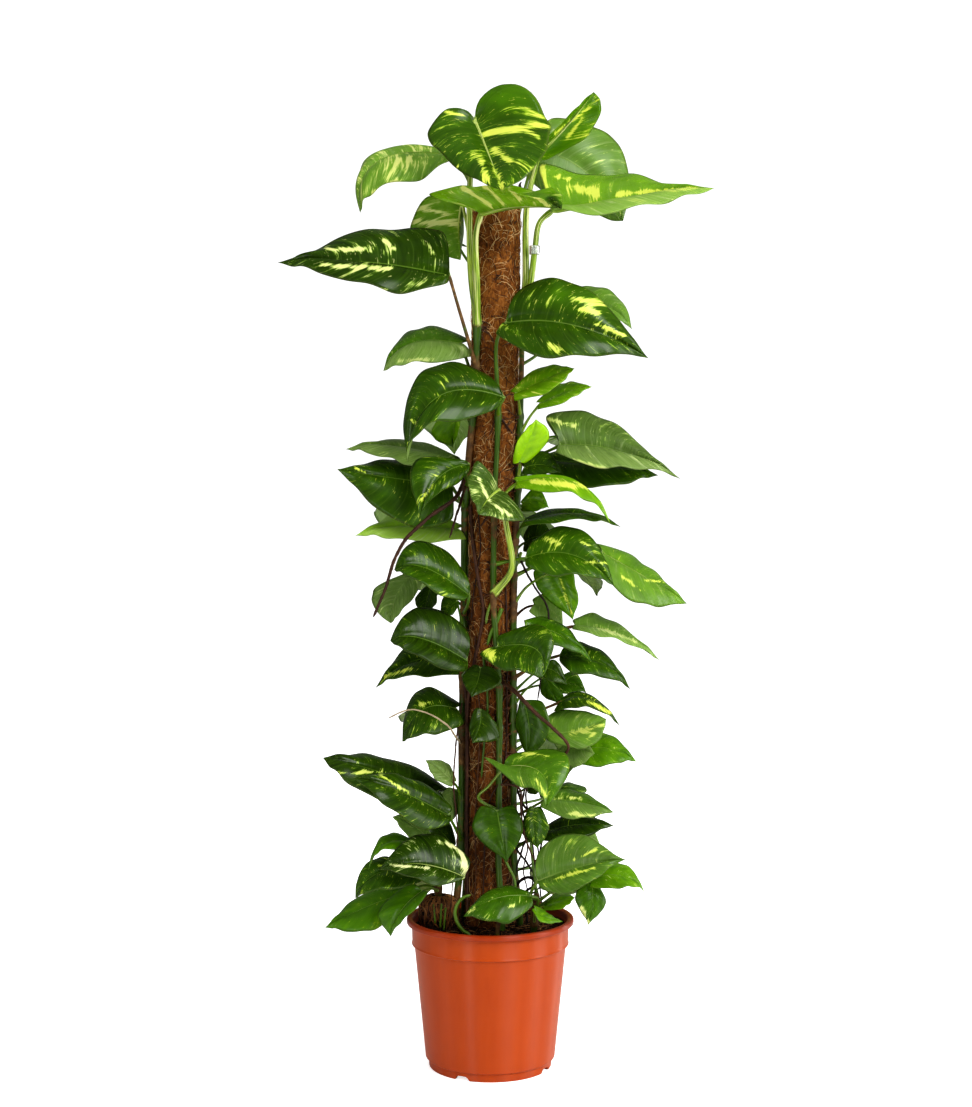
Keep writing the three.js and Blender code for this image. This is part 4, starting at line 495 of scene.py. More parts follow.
# How each leaf looks: tone from dark (0) to young and light (1), how much it is streaked, how
# creamy rather than yellow the streaks are, and then the streaks seen in the photo, each from
# (across, up) to (across, up) with a width. A sixth number instead paints that place lighter or
# darker green: painted light where the leaf is lit, painted shade where it is in shade. A seventh,
# after a 0, is how solid the streak is; below 0 no streaks are there
LOOKS = {
    "crown_heart": (0.28, 0.44, 0.1, (-9, 1329, 75, 1341, 7, 0, 0.85), (40, 1340, 72, 1323, 4),
        (-13, 1292, -6, 1262, 8, 0, 0.9), (6, 1284, 16, 1254, 7, 0, 0.8),
        (2, 1310, 28, 1290, 6, 0, 0.9), (-50, 1299, -39, 1307, 3), (-56, 1276, -44, 1285, 3),
        (-64, 1361, -38, 1355, 3), (14, 1380, 26, 1384, 2, 0, 0.6), (-4, 1390, 56, 1390, 22, 0.16),
        (0, 1394, 46, 1396, 20, 0, -0.8)),
    "crown_left": (0.6, 0.7, 0.4, (-197, 1282, -194, 1266, 3), (-166, 1246, -130, 1264, 4),
        (-128, 1294, -148, 1264, 3, 0, 0.7), (-112, 1300, -122, 1274, 3, 0, 0.7)),
    "crown_low": (0.76, 0.5, 0.35, (-40, 1254, 0, 1230, 5), (-8, 1256, 18, 1232, 4),
        (22, 1258, 42, 1236, 3), (64, 1240, 84, 1228, 3), (88, 1236, 100, 1222, 9, -0.75)),
    "crown_under": (0.66, 0.56, 0.6, (-110, 1206, -45, 1203, 6), (-104, 1226, -60, 1216, 4)),
    "left_long": (0.05, 0.3, 0.6, (-238, 1146, -140, 1140, 5, 0, 1.2), (-92, 1182, -80, 1160, 4),
        (-232, 1168, -170, 1166, 4), (-150, 1180, -134, 1166, 3), (-180, 1112, -150, 1110, 3)),
    "right_folded": (0.56, 0.5, 0.05, (92, 1330, 140, 1366, 3), (108, 1324, 132, 1352, 3)),
    "right_pale": (0.42, 0.35, 0.4),
    "right_long": (0.66, 0.45, 0.08, (72, 1284, 82, 1238, 7), (116, 1254, 150, 1246, 8),
        (180, 1246, 290, 1253, 4), (90, 1270, 112, 1266, 4)),
    "mid_right": (0.17, 0.36, 0.2, (118, 1097, 176, 1090, 8), (128, 1084, 152, 1078, 5),
        (86, 1032, 98, 1026, 6), (150, 1062, 190, 1046, 3), (190, 1066, 216, 1046, 4),
        (100, 1104, 190, 1092, 16, 0.25)),
    "mid_right_behind": (0.5, 0.35, 0.5),
    "mid_left": (0.42, 0.15, 0.6, (-130, 1010, -80, 1012, 4)),
    "heart_left": (0.21, 0.24, 0.15, (-112, 926, -98, 914, 3), (-60, 990, -30, 960, 30, -0.08)),
    "behind_heart": (0.7, 0.4, 0.1),
    "left_flat": (0.2, 0.15, 0.3),
    "left_big": (0.2, 0.24, 0.1, (-192, 858, -176, 850, 3)),
    "left_heart": (0.22, 0.35, 0.1, (-98, 812, -82, 835, 3)),
    "left_light": (1.0, 0.15, 0.1),
    "small_yellow": (0.72, 0.55, 0.15),
    "small_far": (0.72, 0.5, 0.3),
    "right_broad": (0.14, 0.34, 0.5, (110, 915, 190, 890, 14, 0.14), (70, 930, 120, 918, 4),
        (120, 868, 180, 850, 4)),
    "right_dark": (0.2, 0.2, 0.1),
    "bud_leaf": (0.95, 0.25, 0),
    "small_dark": (0.12, 0.05, 0),
    "bright_curl": (0.72, 0.55, 0.1, (60, 838, 150, 830, 5)),
    "pale_front": (0.14, 0.55, 0.8, (-16, 842, -2, 812, 3), (8, 804, 30, 790, 3)),
    "right_edge": (0.2, 0.1, 0.2),
    "right_small_lobe": (0.6, 0.2, 0),
    "right_mid": (0.28, 0.34, 0.15, (80, 758, 98, 750, 3), (128, 753, 142, 747, 3),
        (138, 724, 168, 722, 3)),
    "right_far": (0.55, 0.32, 0.1, (190, 702, 215, 683, 3), (222, 698, 248, 695, 3)),
    "under_mid": (0.55, 0.2, 0.1, (100, 700, 116, 650, 2.5)),
    "pale_low": (0.5, 0.1, 0.9),
    "right_striped": (0.5, 0.2, 0.6, (150, 632, 208, 610, 5)),
    "behind_gloss": (0.35, 0.25, 0.1, (50, 628, 70, 624, 5)),
    "gloss_front": (0.2, 0.35, 0.1, (-8, 600, 8, 585, 9)),
    "dark_small": (0.05, 0, 0),
    "right_low": (0.22, 0.2, 0.2),
    "pale_tip": (0.4, 0.4, 0.6),
    "green_wedge": (0.35, 0.1, 0.1),
    "drip_tip": (0.15, 0.3, 0.1, (140, 524, 170, 508, 4)),
    "hanging_mid": (0.2, 0, 0),
    "yellow_edge": (0.54, 0.3, 0.2, (115, 478, 162, 490, 5), (140, 470, 152, 480, 4)),
    "right_light": (0.55, 0.15, 0.3),
    "silver": (0.35, 0.1, 0.8),
    "centre_gloss": (0.42, 0.38, 0.15, (36, 452, 82, 446, 3), (66, 412, 80, 388, 3)),
    "left_corner": (0.15, 0.25, 0.2, (-100, 520, -85, 522, 4)),
    "left_round": (0.2, 0.3, 0.1),
    "left_hanging": (0.25, 0.2, 0.6),
    "left_heart_low": (0.02, 0.04, 0.1),
    "left_behind_low": (0.15, 0.28, 0.1, (-150, 560, -112, 572, 4)),
    "left_point": (0.15, 0.25, 0.8),
    "left_grey": (0.25, 0.2, 0.8),
    "left_wing": (0.02, 0.08, 0.3, (-225, 421, -150, 423, 4)),
    "left_wing_low": (0.08, 0.26, 0.15, (-160, 420, -116, 392, 3)),
    "plug_pale": (0.5, 0.35, 0.8),
    "plug_arch": (0.5, 0.15, 0.2),
    "cream_edge": (0.04, 0.28, 0.9, (-42, 312, -33, 270, 7, 0, 1.1), (-140, 288, -90, 284, 3),
        (-74, 322, -50, 314, 4)),
    "plug_dark": (0.2, 0.3, 0.1, (-160, 288, -130, 289, 4)),
    "over_rim": (0.48, 0.03, 0),
    "over_rim_front": (0.48, 0.05, 0),
    "pole_heart": (0.25, 0, 0),
    "right_pair": (0.35, 0.3, 0.4, (110, 362, 170, 360, 3), (90, 385, 130, 385, 3)),
    "right_pale_low": (0.4, 0.1, 0.9),
    "striped_small": (0.3, 0.5, 0.2),
    "gloss_right": (0.36, 0.3, 0.1, (118, 295, 152, 310, 3), (92, 268, 150, 284, 3)),
    "right_pale_tip": (0.6, 0.3, 0.4),
    "over_rim_right": (0.4, 0.15, 0.6, (132, 226, 140, 205, 5)),
    "foot_gloss": (0.3, 0.22, 0.4, (-30, 220, -22, 225, 3), (26, 226, 34, 230, 3)),
    "foot_light": (0.7, 0.1, 0),
    "foot_curl": (0.6, 0.1, 0),
    # These leaves lie in the shade of others: their low tones are painted shade
    "right_shaded": (0.08, 0.1, 0),
    "left_deep": (0.06, 0.05, 0),
    "left_shaded": (0.05, 0.1, 0),
    "right_shaded_low": (0.06, 0.1, 0),
    "wedge_front": (0.02, 0, 0),
    "wedge_low": (0.02, 0, 0),
    "right_deep": (0.08, 0.1, 0),
}
PLAIN_LOOK = (0.25, 0.25, 0.2)
# How far a streak spreads, as a share of its width
MARK_SPREAD = 0.8

# How far the upper face of each half is painted as pale as a lower face: a painted sheen where it
# is seen at a flat angle, the lower face's own colour where it is turned over; and for some how
# pale the lower face is
UNDERSIDE_AND_SHEEN = {
    "right_long": (0.15, 0.78), "mid_left": (0.1, 0.9), "left_light": (0.5, 0.9),
    "right_broad": (0.35, 0.76), "crown_left": (0.42, 0.3, 0.6), "right_pale": (0.35, 0.35, 0.4),
    "left_flat": (0.4, 0.7), "right_striped": (0.5, 0.8), "right_far": (0.2, 0.3),
    "crown_under": (0.2, 0.2, 0.3), "left_grey": (0.8, 0.8), "silver": (0.8, 0.8),
    "left_point": (0.7, 0.7), "pale_low": (0.8, 0.8), "right_pale_low": (0.8, 0.8),
    "plug_pale": (0.7, 0.7), "mid_right_behind": (0.4, 0.4), "gloss_right": (0.3, 0.18),
    "centre_gloss": (0.05, 0.2), "left_hanging": (0.5, 0.5), "right_pair": (0.1, 0.4),
    "crown_low": (0, 0, 0.1), "right_folded": (0, 0, 0), "pale_front": (0.14, 0.14),
    "bright_curl": (0, 0, 0.2), "yellow_edge": (0.4, 0.4, 0.6),
}

# How light a stalk is, where it isn't just as its leaf
STALK_TINT = {
    "crown_heart": 0.95, "crown_low": 0.85, "right_folded": 0.85, "right_long": 0.8,
    "pale_front": 1.0, "crown_under": 1.0, "cream_edge": 0.9,
}

# How brown a stalk is
BROWN = {
    "left_long": 0.75, "right_striped": 1.0, "pale_low": 1.0, "right_low": 0.7, "left_wing": 0.4,
    "heart_left": 0.3, "left_corner": 0.4, "drip_tip": 0.8, "right_pair": 0.5, "hanging_mid": 0.2,
}


def place(point):
    """A seen point (across, up, depth) slid along its line of sight to its depth."""
    across, up, depth = point
    k = (depth - EYE[1]) / -EYE[1]
    return np.array([EYE[0] + (across - EYE[0]) * k, depth, EYE[2] + (up - EYE[2]) * k])


def seen(points):
    """Where points are seen: across and up in the plane of the pole."""
    k = (points[:, 1] - EYE[1]) / -EYE[1]
    return EYE[0] + (points[:, 0] - EYE[0]) / k, EYE[2] + (points[:, 2] - EYE[2]) / k


def unit(v):
    length = np.linalg.norm(v, axis=-1, keepdims=True)
    return v / np.maximum(length, 1e-12)


def smooth(points, step):
    """Centripetal spline through the points, resampled at even steps of about `step`."""
    p = np.asarray(points, float)
    p = np.vstack([2 * p[0] - p[1], p, 2 * p[-1] - p[-2]])
    gaps = np.maximum(np.linalg.norm(np.diff(p, axis=0), axis=1) ** 0.5, 1e-6)
    knots = np.concatenate([[0], np.cumsum(gaps)])
    fine = []
    for i in range(1, len(p) - 2):
        t = np.linspace(knots[i], knots[i + 1], 13)[:-1, None]
        t0, t1, t2, t3 = knots[i - 1:i + 3]
        a1 = (t1 - t) / (t1 - t0) * p[i - 1] + (t - t0) / (t1 - t0) * p[i]
        a2 = (t2 - t) / (t2 - t1) * p[i] + (t - t1) / (t2 - t1) * p[i + 1]
        a3 = (t3 - t) / (t3 - t2) * p[i + 1] + (t - t2) / (t3 - t2) * p[i + 2]
        b1 = (t2 - t) / (t2 - t0) * a1 + (t - t0) / (t2 - t0) * a2
        b2 = (t3 - t) / (t3 - t1) * a2 + (t - t1) / (t3 - t1) * a3
        fine.append((t2 - t) / (t2 - t1) * b1 + (t - t1) / (t2 - t1) * b2)
    return even(np.vstack(fine + [p[-2:-1]]), step)


def turns(count):
    """Angles of even steps round a circle."""
    return 2 * np.pi * np.arange(count) / count


def run_along(path):
    """How far along the path each of its points is."""
    return np.concatenate([[0], np.cumsum(np.linalg.norm(np.diff(path, axis=0), axis=1))])


def even(path, step):
    """The path with points at even steps."""
    along = run_along(path)
    count = max(2, int(round(along[-1] / step)))
    at = np.linspace(0, along[-1], count + 1)
    return np.stack([np.interp(at, along, path[:, i]) for i in range(3)], axis=1)


def pole_x(z):
    return LEAN_FROM[0] + (LEAN_TO[0] - LEAN_FROM[0]) * (z - LEAN_FROM[1]) / (
        LEAN_TO[1] - LEAN_FROM[1])


def around_pole(z, azimuth, distance):
    """Points round the leaning pole; azimuth in radians, 0 to the right."""
    z, azimuth, distance = np.broadcast_arrays(z, azimuth, distance)
    return np.stack([pole_x(z) + distance * np.cos(azimuth), distance * np.sin(azimuth), z], -1)


class Piece:
    """Gathers many small bodies into one mesh, with values kept on its vertices."""

    def __init__(self, *values):
        self.points, self.corners, self.sizes, self.maps = [], [], [], []
        self.values = {name: [] for name in values}
        self.count = 0

    def add(self, points, faces, uv, **values):
        """faces: rows of 3 or 4 indices; uv: a (u, v) for each index of each row."""
        for rows, spots in zip(faces, uv):
            if len(rows):
                self.corners.append((rows + self.count).ravel())
                self.sizes.append(np.full(len(rows), rows.shape[1]))
                self.maps.append(spots.reshape(-1, 2))
        for name in self.values:
            self.values[name].append(np.broadcast_to(values[name], len(points)))
        self.points.append(points)
        self.count += len(points)

    def make(self, name, slot, nodes, material):
        points = np.vstack(self.points) * MM
        points = np.clip(points, np.array(CAD_LOW), np.array(CAD_HIGH))
        corners, sizes = np.concatenate(self.corners), np.concatenate(self.sizes)
        mesh = bpy.data.meshes.new(name)
        mesh.vertices.add(len(points))
        mesh.vertices.foreach_set("co", points.astype(np.float32).ravel())
        mesh.loops.add(len(corners))
        mesh.loops.foreach_set("vertex_index", corners.astype(np.int32))
        mesh.polygons.add(len(sizes))
        starts = np.concatenate([[0], np.cumsum(sizes)[:-1]])
        mesh.polygons.foreach_set("loop_start", starts.astype(np.int32))
        mesh.polygons.foreach_set("use_smooth", np.ones(len(sizes), bool))
        mesh.update(calc_edges=True)
        layer = mesh.uv_layers.new(name="grain")
        layer.data.foreach_set("uv", np.concatenate(self.maps).astype(np.float32).ravel())
        for key, parts in self.values.items():
            attribute = mesh.attributes.new(key, "FLOAT", "POINT")
            attribute.data.foreach_set("value", np.concatenate(parts).astype(np.float32))
        mesh.validate()
        return dress(bpy.data.objects.new(name, mesh), nodes, material)


def in_scene(name, data):
    """A new object that is already in the scene."""
    obj = bpy.data.objects.new(name, data)
    bpy.context.scene.collection.objects.link(obj)
    return obj


def dress(obj, nodes, material):
    """Gives a piece its material and body, and hides the nodes that it stands in for."""
    if obj.name not in bpy.context.scene.collection.objects:
        bpy.context.scene.collection.objects.link(obj)
    obj.data.materials.clear()
    obj.data.materials.append(material)
    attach(obj, "root")
    if nodes:
        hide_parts(*nodes)
    return obj


def frames_along(path, start=START_SIDE):
    """Headings and two cross directions along a path, with no twist."""
    along = unit(np.gradient(path, axis=0))
    normal = np.array(start, float)
    normals = np.empty_like(path)
    for i, heading in enumerate(along):
        normal = normal - heading * normal.dot(heading)
        normal = normal / max(np.linalg.norm(normal), 1e-9)
        normals[i] = normal
    return along, normals, np.cross(along, normals)


def ring_quads(rings, around):
    """Quads between rings of points, with the ring and the place that each starts from."""
    i, j = np.meshgrid(np.arange(rings - 1), np.arange(around), indexing="ij")
    i, j = i.ravel(), j.ravel()
    low, high, k = i * around, (i + 1) * around, (j + 1) % around
    return np.stack([low + j, low + k, high + k, high + j], 1), i, j


def fan(first, around, centre):
    """Triangles from a ring of points to the point in its middle."""
    s = np.arange(around)
    return np.stack([first + s, first + (s + 1) % around, np.full(around, centre)], 1)


def tube(piece, path, radius, sides, form=None, start=START_SIDE, **values):
    """Closed tube. radius: a number or one per point. form(angle, length) scales the rings."""
    path = np.asarray(path, float)
    n = len(path)
    _, normals, asides = frames_along(path, start)
    run = run_along(path)
    angle = turns(sides)
    r = np.broadcast_to(np.asarray(radius, float), n)[:, None] * np.ones(sides)
    if form:
        r = r * form(angle[None, :], run[:, None])
    rings = (path[:, None] + normals[:, None] * (r * np.cos(angle))[..., None]
             + asides[:, None] * (r * np.sin(angle))[..., None])
    points = np.vstack([rings.reshape(-1, 3), path[:1], path[-1:]])
    quads, i, j = ring_quads(n, sides)
    turn = np.stack([j, j + 1, j + 1, j], 1) / sides
    length = np.stack([run[i], run[i], run[i + 1], run[i + 1]], 1)
    foot, top = n * sides, n * sides + 1
    caps = np.vstack([fan(0, sides, foot)[:, [1, 0, 2]], fan((n - 1) * sides, sides, top)])
    cap_uv = np.zeros((2 * sides, 3, 2))
    cap_uv[..., 0] = np.tile(np.arange(sides) / sides, 2)[:, None]
    cap_uv[sides:, :, 1] = run[-1]
    spread = {}
    for key, value in values.items():
        value = np.asarray(value, float)
        if value.ndim:
            value = np.concatenate([np.repeat(value, sides), value[:1], value[-1:]])
        spread[key] = value
    piece.add(points, [quads, caps], [np.stack([turn, length], -1), cap_uv], **spread)


def midrib(base, middle, tip, s):
    """Points of the arch from base to tip through the middle, at shares s of it."""
    s = np.asarray(s)[..., None]
    pull = 2 * middle - 0.5 * base - 0.5 * tip
    return base * (1 - s) ** 2 + pull * 2 * s * (1 - s) + tip * s ** 2


def through(keys, u):
    """Even spline through the keys at the places u."""
    keys = np.asarray(keys)
    i = np.minimum(np.floor(u).astype(int), len(keys) - 2)
    t = (u - i)[:, None]
    a, b = keys[np.maximum(i - 1, 0)], keys[i]
    c, d = keys[i + 1], keys[np.minimum(i + 2, len(keys) - 1)]
    return (a * (-t + 2 * t ** 2 - t ** 3) + b * (2 - 5 * t ** 2 + 3 * t ** 3)
            + c * (t + 4 * t ** 2 - 3 * t ** 3) + d * (t ** 3 - t ** 2)) / 2


def turned(vectors, axis, degrees):
    """Vectors turned about an axis of length 1 by the right-hand rule."""
    c, s = math.cos(math.radians(degrees)), math.sin(math.radians(degrees))
    along = (vectors @ axis)[:, None] * axis
    return vectors * c + np.cross(axis, vectors) * s + along * (1 - c)


def hung(name, points):
    """A leaf's points turned and scaled about its base, as HANGING says."""
    droop, swing, size = HANGING.get(name, (0, 0, 1))
    base, upright = points[0], np.array([0.0, 0.0, 1.0])
    heading = unit((points[2] - base) * np.array([1, 1, 0]))
    spread = turned((np.array(points) - base) * size, np.cross(heading, upright), -droop)
    return list(turned(spread, upright, -swing) + base)


class Leaf:
    """One leaf's shape, from its row of seen points."""

    def __init__(self, row):
        self.name = row[0]
        self.base, self.middle, self.tip, *sides = hung(self.name, [place(p) for p in row[4:]])
        self.length = (np.linalg.norm(self.middle - self.base)
                       + np.linalg.norm(self.tip - self.middle))
        heading = unit(self.rib(0.1) - self.base)
        powers = NARROWING.get(self.name, (1, 1))
        self.bulges = FULL_LOBES.get(self.name, (0, 0))
        self.edges = []
        for hand, power in enumerate(powers):
            half = sides[hand] - self.rib(WIDEST_AT)
            lobe = (sides[2 + hand] if len(sides) > 2
                    else self.base - heading * LOBE_REACH * self.length + half * LOBE_SPREAD)
            self.edges.append([self.base, lobe, sides[hand]]
                              + [self.rib(s) + half * w ** power for s, w in TAPER] + [self.tip])
        up = unit(np.cross(self.tip - self.base, sides[0] - sides[1]))
        self.up = -up if up[2] - up[1] / 2 < 0 else up

    def rib(self, s):
        return midrib(self.base, self.middle, self.tip, s)

    def margin(self, hand, u):
        """Margin of one half, with its round lobe between the base and the widest place."""
        keys = self.edges[hand]
        points = through(keys, u)
        outward = unit(points - (keys[0] + keys[2]) / 2)
        bulge = self.bulges[hand] * np.where(u < 2, np.sin(np.pi * u) ** 2, 0)
        return points + outward * bulge[:, None]


def vein_start(u):
    """Where on the midrib the side vein at u starts."""
    return (np.clip(u - 1, 0, 5) / 5) ** 1.22


def leaf_halves(leaf, size, seed):
    """Points of both halves, as rows that follow the side veins from the midrib to the margin.

    With them go their places along the leaf (0 to LEAF_SPAN) and across it (0 to 1), and the
    width of the half there.
    """
    us = LEAF_SPAN * np.linspace(0, 1, size[0] + 1)
    vs = np.linspace(0, 1, size[1] + 1) ** 0.8
    u, v = np.meshgrid(us, vs, indexing="ij")
    vein = u + VEIN_SWEEP * np.sin(np.pi * v)
    quilt = np.abs(np.sin(np.pi * vein / VEIN_STEP)) ** 0.7 * np.sin(np.pi * v) ** 0.7
    before_tip = np.clip(LEAF_SPAN - u, 0, 1)
    halves, widths = [], []
    for hand in (0, 1):
        edge, start = leaf.margin(hand, us), leaf.rib(vein_start(us))
        width = np.linalg.norm(edge - start, axis=1)[:, None] + 0 * v
        lift = (CUP * np.sin(np.pi * v)
                + RIPPLE * v ** 2 * np.sin(RIPPLE_WAVES * u + 2 * hand)
                + CURL * v ** 3 * np.sin(CURL_WAVES * u + seed + hand) * before_tip
                + QUILT * quilt * np.clip(u, 0, 1)
                - GROOVE * np.exp(-(v * width / GROOVE_WIDTH) ** 2) * np.clip(5.6 - u, 0, 1))
        lift *= leaf.length * np.clip(2 * u, 0, 1) * before_tip
        halves.append(start[:, None] + (edge - start)[:, None] * v[..., None]
                      + leaf.up * lift[..., None])
        widths.append(width)
    # The two halves meet along the midrib
    halves[1][:, 0] = halves[0][:, 0]
    return (np.stack(halves).reshape(-1, 3), np.stack([vein, vein + HALF_APART]).ravel(),
            np.stack([v, v]).ravel(), np.stack(widths).ravel())


def leaf_marks(points, marks, tone):
    """Streak strength and tone of each point, from the streaks seen in the photo; the tone carries
    painted light and painted shade.
    """
    mark, tone_lit_and_shaded = np.zeros(len(points)), np.full(len(points), float(tone))
    across, height = seen(points)
    for x0, z0, x1, z1, width, *more in marks:
        span = np.array([x1 - x0, z1 - z0], float)
        t = np.clip(((across - x0) * span[0] + (height - z0) * span[1]) / span.dot(span), 0, 1)
        far = np.hypot(across - x0 - t * span[0], height - z0 - t * span[1])
        if more and more[0]:
            # Painted light and shade: a lit place gets a higher tone, a shaded place a lower one
            tone_lit_and_shaded += more[0] * np.exp(-(far / width) ** 2)
        else:
            strength = more[1] if more else 1.0
            spot = strength * np.exp(-(far / (MARK_SPREAD * width)) ** 2)
            mark = np.maximum(mark, spot) if strength > 0 else mark + spot
    return mark, tone_lit_and_shaded


def whole_faces(ids, grain):
    """Quads with four different corners, and triangles where two of the corners are one."""
    repeat = ids == np.roll(ids, 1, axis=1)
    whole, single = ~repeat.any(axis=1), repeat.sum(axis=1) == 1
    keep = ~repeat[single]
    return ([ids[whole], ids[single][keep].reshape(-1, 3)],
            [grain[whole], grain[single][keep].reshape(-1, 3, 2)])


def leaf_quads(size, half):
    """Quads of both halves, where each half has `half` points."""
    i, j = np.meshgrid(np.arange(size[0]), np.arange(size[1]), indexing="ij")
    row_length = size[1] + 1
    at = (i * row_length + j).ravel()
    quads = np.stack([at, at + row_length, at + row_length + 1, at + 1], 1)
    return np.vstack([quads, quads[:, ::-1] + half])


def add_leaf(piece, row):
    """One leaf's blade, from its row in LEAVES, with its looks kept on its points."""
    leaf = Leaf(row)
    tone, streaks, pale, *marks = LOOKS.get(leaf.name, PLAIN_LOOK)
    size = BIG_GRID if leaf.length > BIG_LEAF else SMALL_GRID
    if leaf.name.startswith("rear"):
        tone, streaks, pale = rng.uniform(0.12, 0.5), rng.uniform(0.1, 0.45), rng.uniform(0, 0.6)
        size = REAR_GRID
    seed = rng.uniform(0, 100)
    flat, grid_u, grid_v, width = leaf_halves(leaf, size, seed)
    half = len(flat) // 2
    quads = leaf_quads(size, half)
    # Points in the same place become one
    _, first, same = np.unique(np.round(flat * 1000).astype(np.int64), axis=0,
                               return_index=True, return_inverse=True)
    sheet, welded = flat[first], same.ravel()[quads]
    faces = np.cross(sheet[welded[:, 2]] - sheet[welded[:, 0]],
                     sheet[welded[:, 3]] - sheet[welded[:, 1]])
    if (faces @ leaf.up).sum() < 0:
        quads, welded, faces = quads[:, ::-1], welded[:, ::-1], -faces
    normals = np.zeros_like(sheet)
    for corner in range(4):
        np.add.at(normals, welded[:, corner], faces)
    normals = unit(normals)
    # The blade thins towards its margin and carries the midrib below
    u, v = grid_u[first] % HALF_APART, grid_v[first]
    thick = BLADE * (1 - v ** 6)
    tip_room = np.clip((LEAF_SPAN - u) * 2, 0, 1)
    swell = (0.5 + leaf.length / 200) * np.exp(-(v * width[first] / RIB_WIDTH) ** 2) * (v < 1)
    upper = sheet + normals * (thick / 2 * tip_room)[:, None]
    lower = sheet - normals * ((thick / 2 + swell * tip_room) * tip_room)[:, None]
    # Margin points and the tip are shared by both faces
    shared = (v >= 1) | (tip_room <= 0)
    lower_id = np.arange(len(sheet))
    lower_id[~shared] = len(sheet) + np.arange((~shared).sum())
    points = np.vstack([upper, lower[~shared]])
    mark, tone_lit_and_shaded = leaf_marks(points, marks, tone)
    # How pale each face is: a painted sheen on upper faces seen flat, the paler lower face below
    left, right, *below = UNDERSIDE_AND_SHEEN.get(leaf.name, (0, 0))
    wash = np.concatenate([np.where(first < half, left, right),
                           np.full((~shared).sum(), below[0] if below else 1.0)])
    grain = np.stack([grid_u + seed, grid_v], 1)
    top = whole_faces(welded, grain[quads])
    under = whole_faces(lower_id[welded[:, ::-1]], grain[quads[:, ::-1]])
    piece.add(points, top[0] + under[0], top[1] + under[1], tone=tone_lit_and_shaded, streaks=streaks,
              pale=pale, mark=mark, wash=wash)
    return leaf


def stem_path(name):
    """Radius and path of a climbing stem or of a shoot."""
    if name in SHOOTS:
        radius, points = SHOOTS[name]
        return radius, smooth(points, PATH_STEP)
    radius, stations = CLIMBERS[name]
    return radius, climb(radius, stations)


def climb(radius, stations):
    """Path of a stem that lies on the coir, from its heights, azimuths and distances off it."""
    stations = np.array(stations, float)
    order = stations if stations[0, 0] < stations[-1, 0] else stations[::-1]
    count = int((order[-1, 0] - order[0, 0]) / CLIMB_STEP)
    z = np.linspace(order[0, 0], order[-1, 0], count)
    blur = np.ones(9) / 9
    azimuth, off = [np.convolve(np.pad(np.interp(z, order[:, 0], values), 4, "edge"), blur, "valid")
                    for values in (np.radians(order[:, 1]), order[:, 2])]
    return around_pole(z, azimuth, POLE_RADIUS + radius + CLEAR + off)


def point_at(path, z):
    """Where the path is at height z."""
    return np.array([np.interp(z, path[:, 2], path[:, i]) for i in range(3)])


def bell(distance, width):
    """1 at a distance of 0, and near 0 from twice the width on."""
    return np.exp(-(distance / width) ** 2)


def ridges(count, depth, phase=0.0):
    """Low ridges round a stem or root, which turn slowly along it."""
    return lambda angle, run: 1 + depth * np.cos(count * angle + phase + 0.004 * run)


def groove(angle, _):
    """Round section with the shallow groove of a leaf stalk on its upper side."""
    angle = angle % (2 * np.pi)
    return 1 - 0.16 * bell(angle, 0.55) - 0.16 * bell(2 * np.pi - angle, 0.55)


def add_stem(piece, name, path, radius, joints):
    """A stem with a swollen ring at each joint, and bark in patches."""
    z = path[:, 2]
    r = radius * np.linspace(1, 0.8, len(path)) * (0.94 + 0.05 * np.sin(z / 23 + radius))
    for joint in joints:
        r = r + radius * 0.3 * bell(z - joint, 4.5)
        r = r + radius * 0.12 * bell(z - joint + 12, 9.0)
    r[-3:] *= np.array([0.95, 0.8, 0.5])
    bark = GREEN_STEM_BARK if name == "front" else STEM_BARK
    brown = bark + 0.3 * np.sin(z / 61 + radius * 3) + 0.35 * np.sin(z / 17)
    ring = sum((bell(z - joint, 2.2) for joint in joints), np.zeros(len(z)))
    tube(piece, path, r, STEM_SIDES, ridges(7, 0.045), brown=np.clip(brown + 0.5 * ring, 0, 1),
         tint=0.17, ring=np.clip(ring, 0, 1))


def add_stalk(piece, row, leaf, path):
    """Leaf stalk from the blade back to the stem, then on under the blade as its midrib."""
    thick = STOUT.get(leaf.name, min(STALK_THICKEST, STALK_THINNEST + STALK_GROWTH * leaf.length))
    outer = smooth([point_at(path, row[2])] + [place(p) for p in row[3]] + [leaf.base],
                   PATH_STEP)
    s = np.linspace(0, 0.86, 28)[1:]
    under = leaf.rib(s) - leaf.up * (GROOVE * leaf.length)
    under = under - leaf.up * np.linspace(0.9, 0.1, len(s))[:, None]
    run = np.linspace(0, 1, len(outer))
    reach = np.linalg.norm(np.diff(outer, axis=0), axis=1).sum()
    sheath = 1 + 0.35 * bell(run * reach, 14)
    knee = 1 + 0.22 * bell((1 - run) * reach - 7, 6)
    r = thick * (1 + (STALK_TAPER - 1) * run) * sheath * knee
    r_rib = thick * STALK_TAPER * (1 - s / 0.9) ** 0.8 * 0.85 + 0.25
    brown = BROWN.get(leaf.name, 0.0)
    fade = np.concatenate([np.full(len(outer), brown), brown * np.linspace(0.4, 0, len(s))])
    fade[:5] = np.maximum(fade[:5], [0.7, 0.6, 0.4, 0.2, 0.1])
    tint = STALK_TINT.get(leaf.name, 0.35 + 0.5 * LOOKS.get(leaf.name, PLAIN_LOOK)[0])
    tube(piece, np.vstack([outer, under]), np.concatenate([r, r_rib]), STALK_SIDES, groove,
         leaf.up, brown=fade, tint=tint, ring=0.0)


def kinked(points, wobble):
    """A root's path: the smooth line with small bends of its own."""
    path = smooth(points, PATH_STEP)
    n = len(path)
    shake = np.cumsum(rng.normal(0, 1, (n, 3)), axis=0)
    shake -= np.linspace(0, 1, n)[:, None] * shake[-1]
    return path + wobble * shake / max(1.0, np.sqrt(n) / 2)


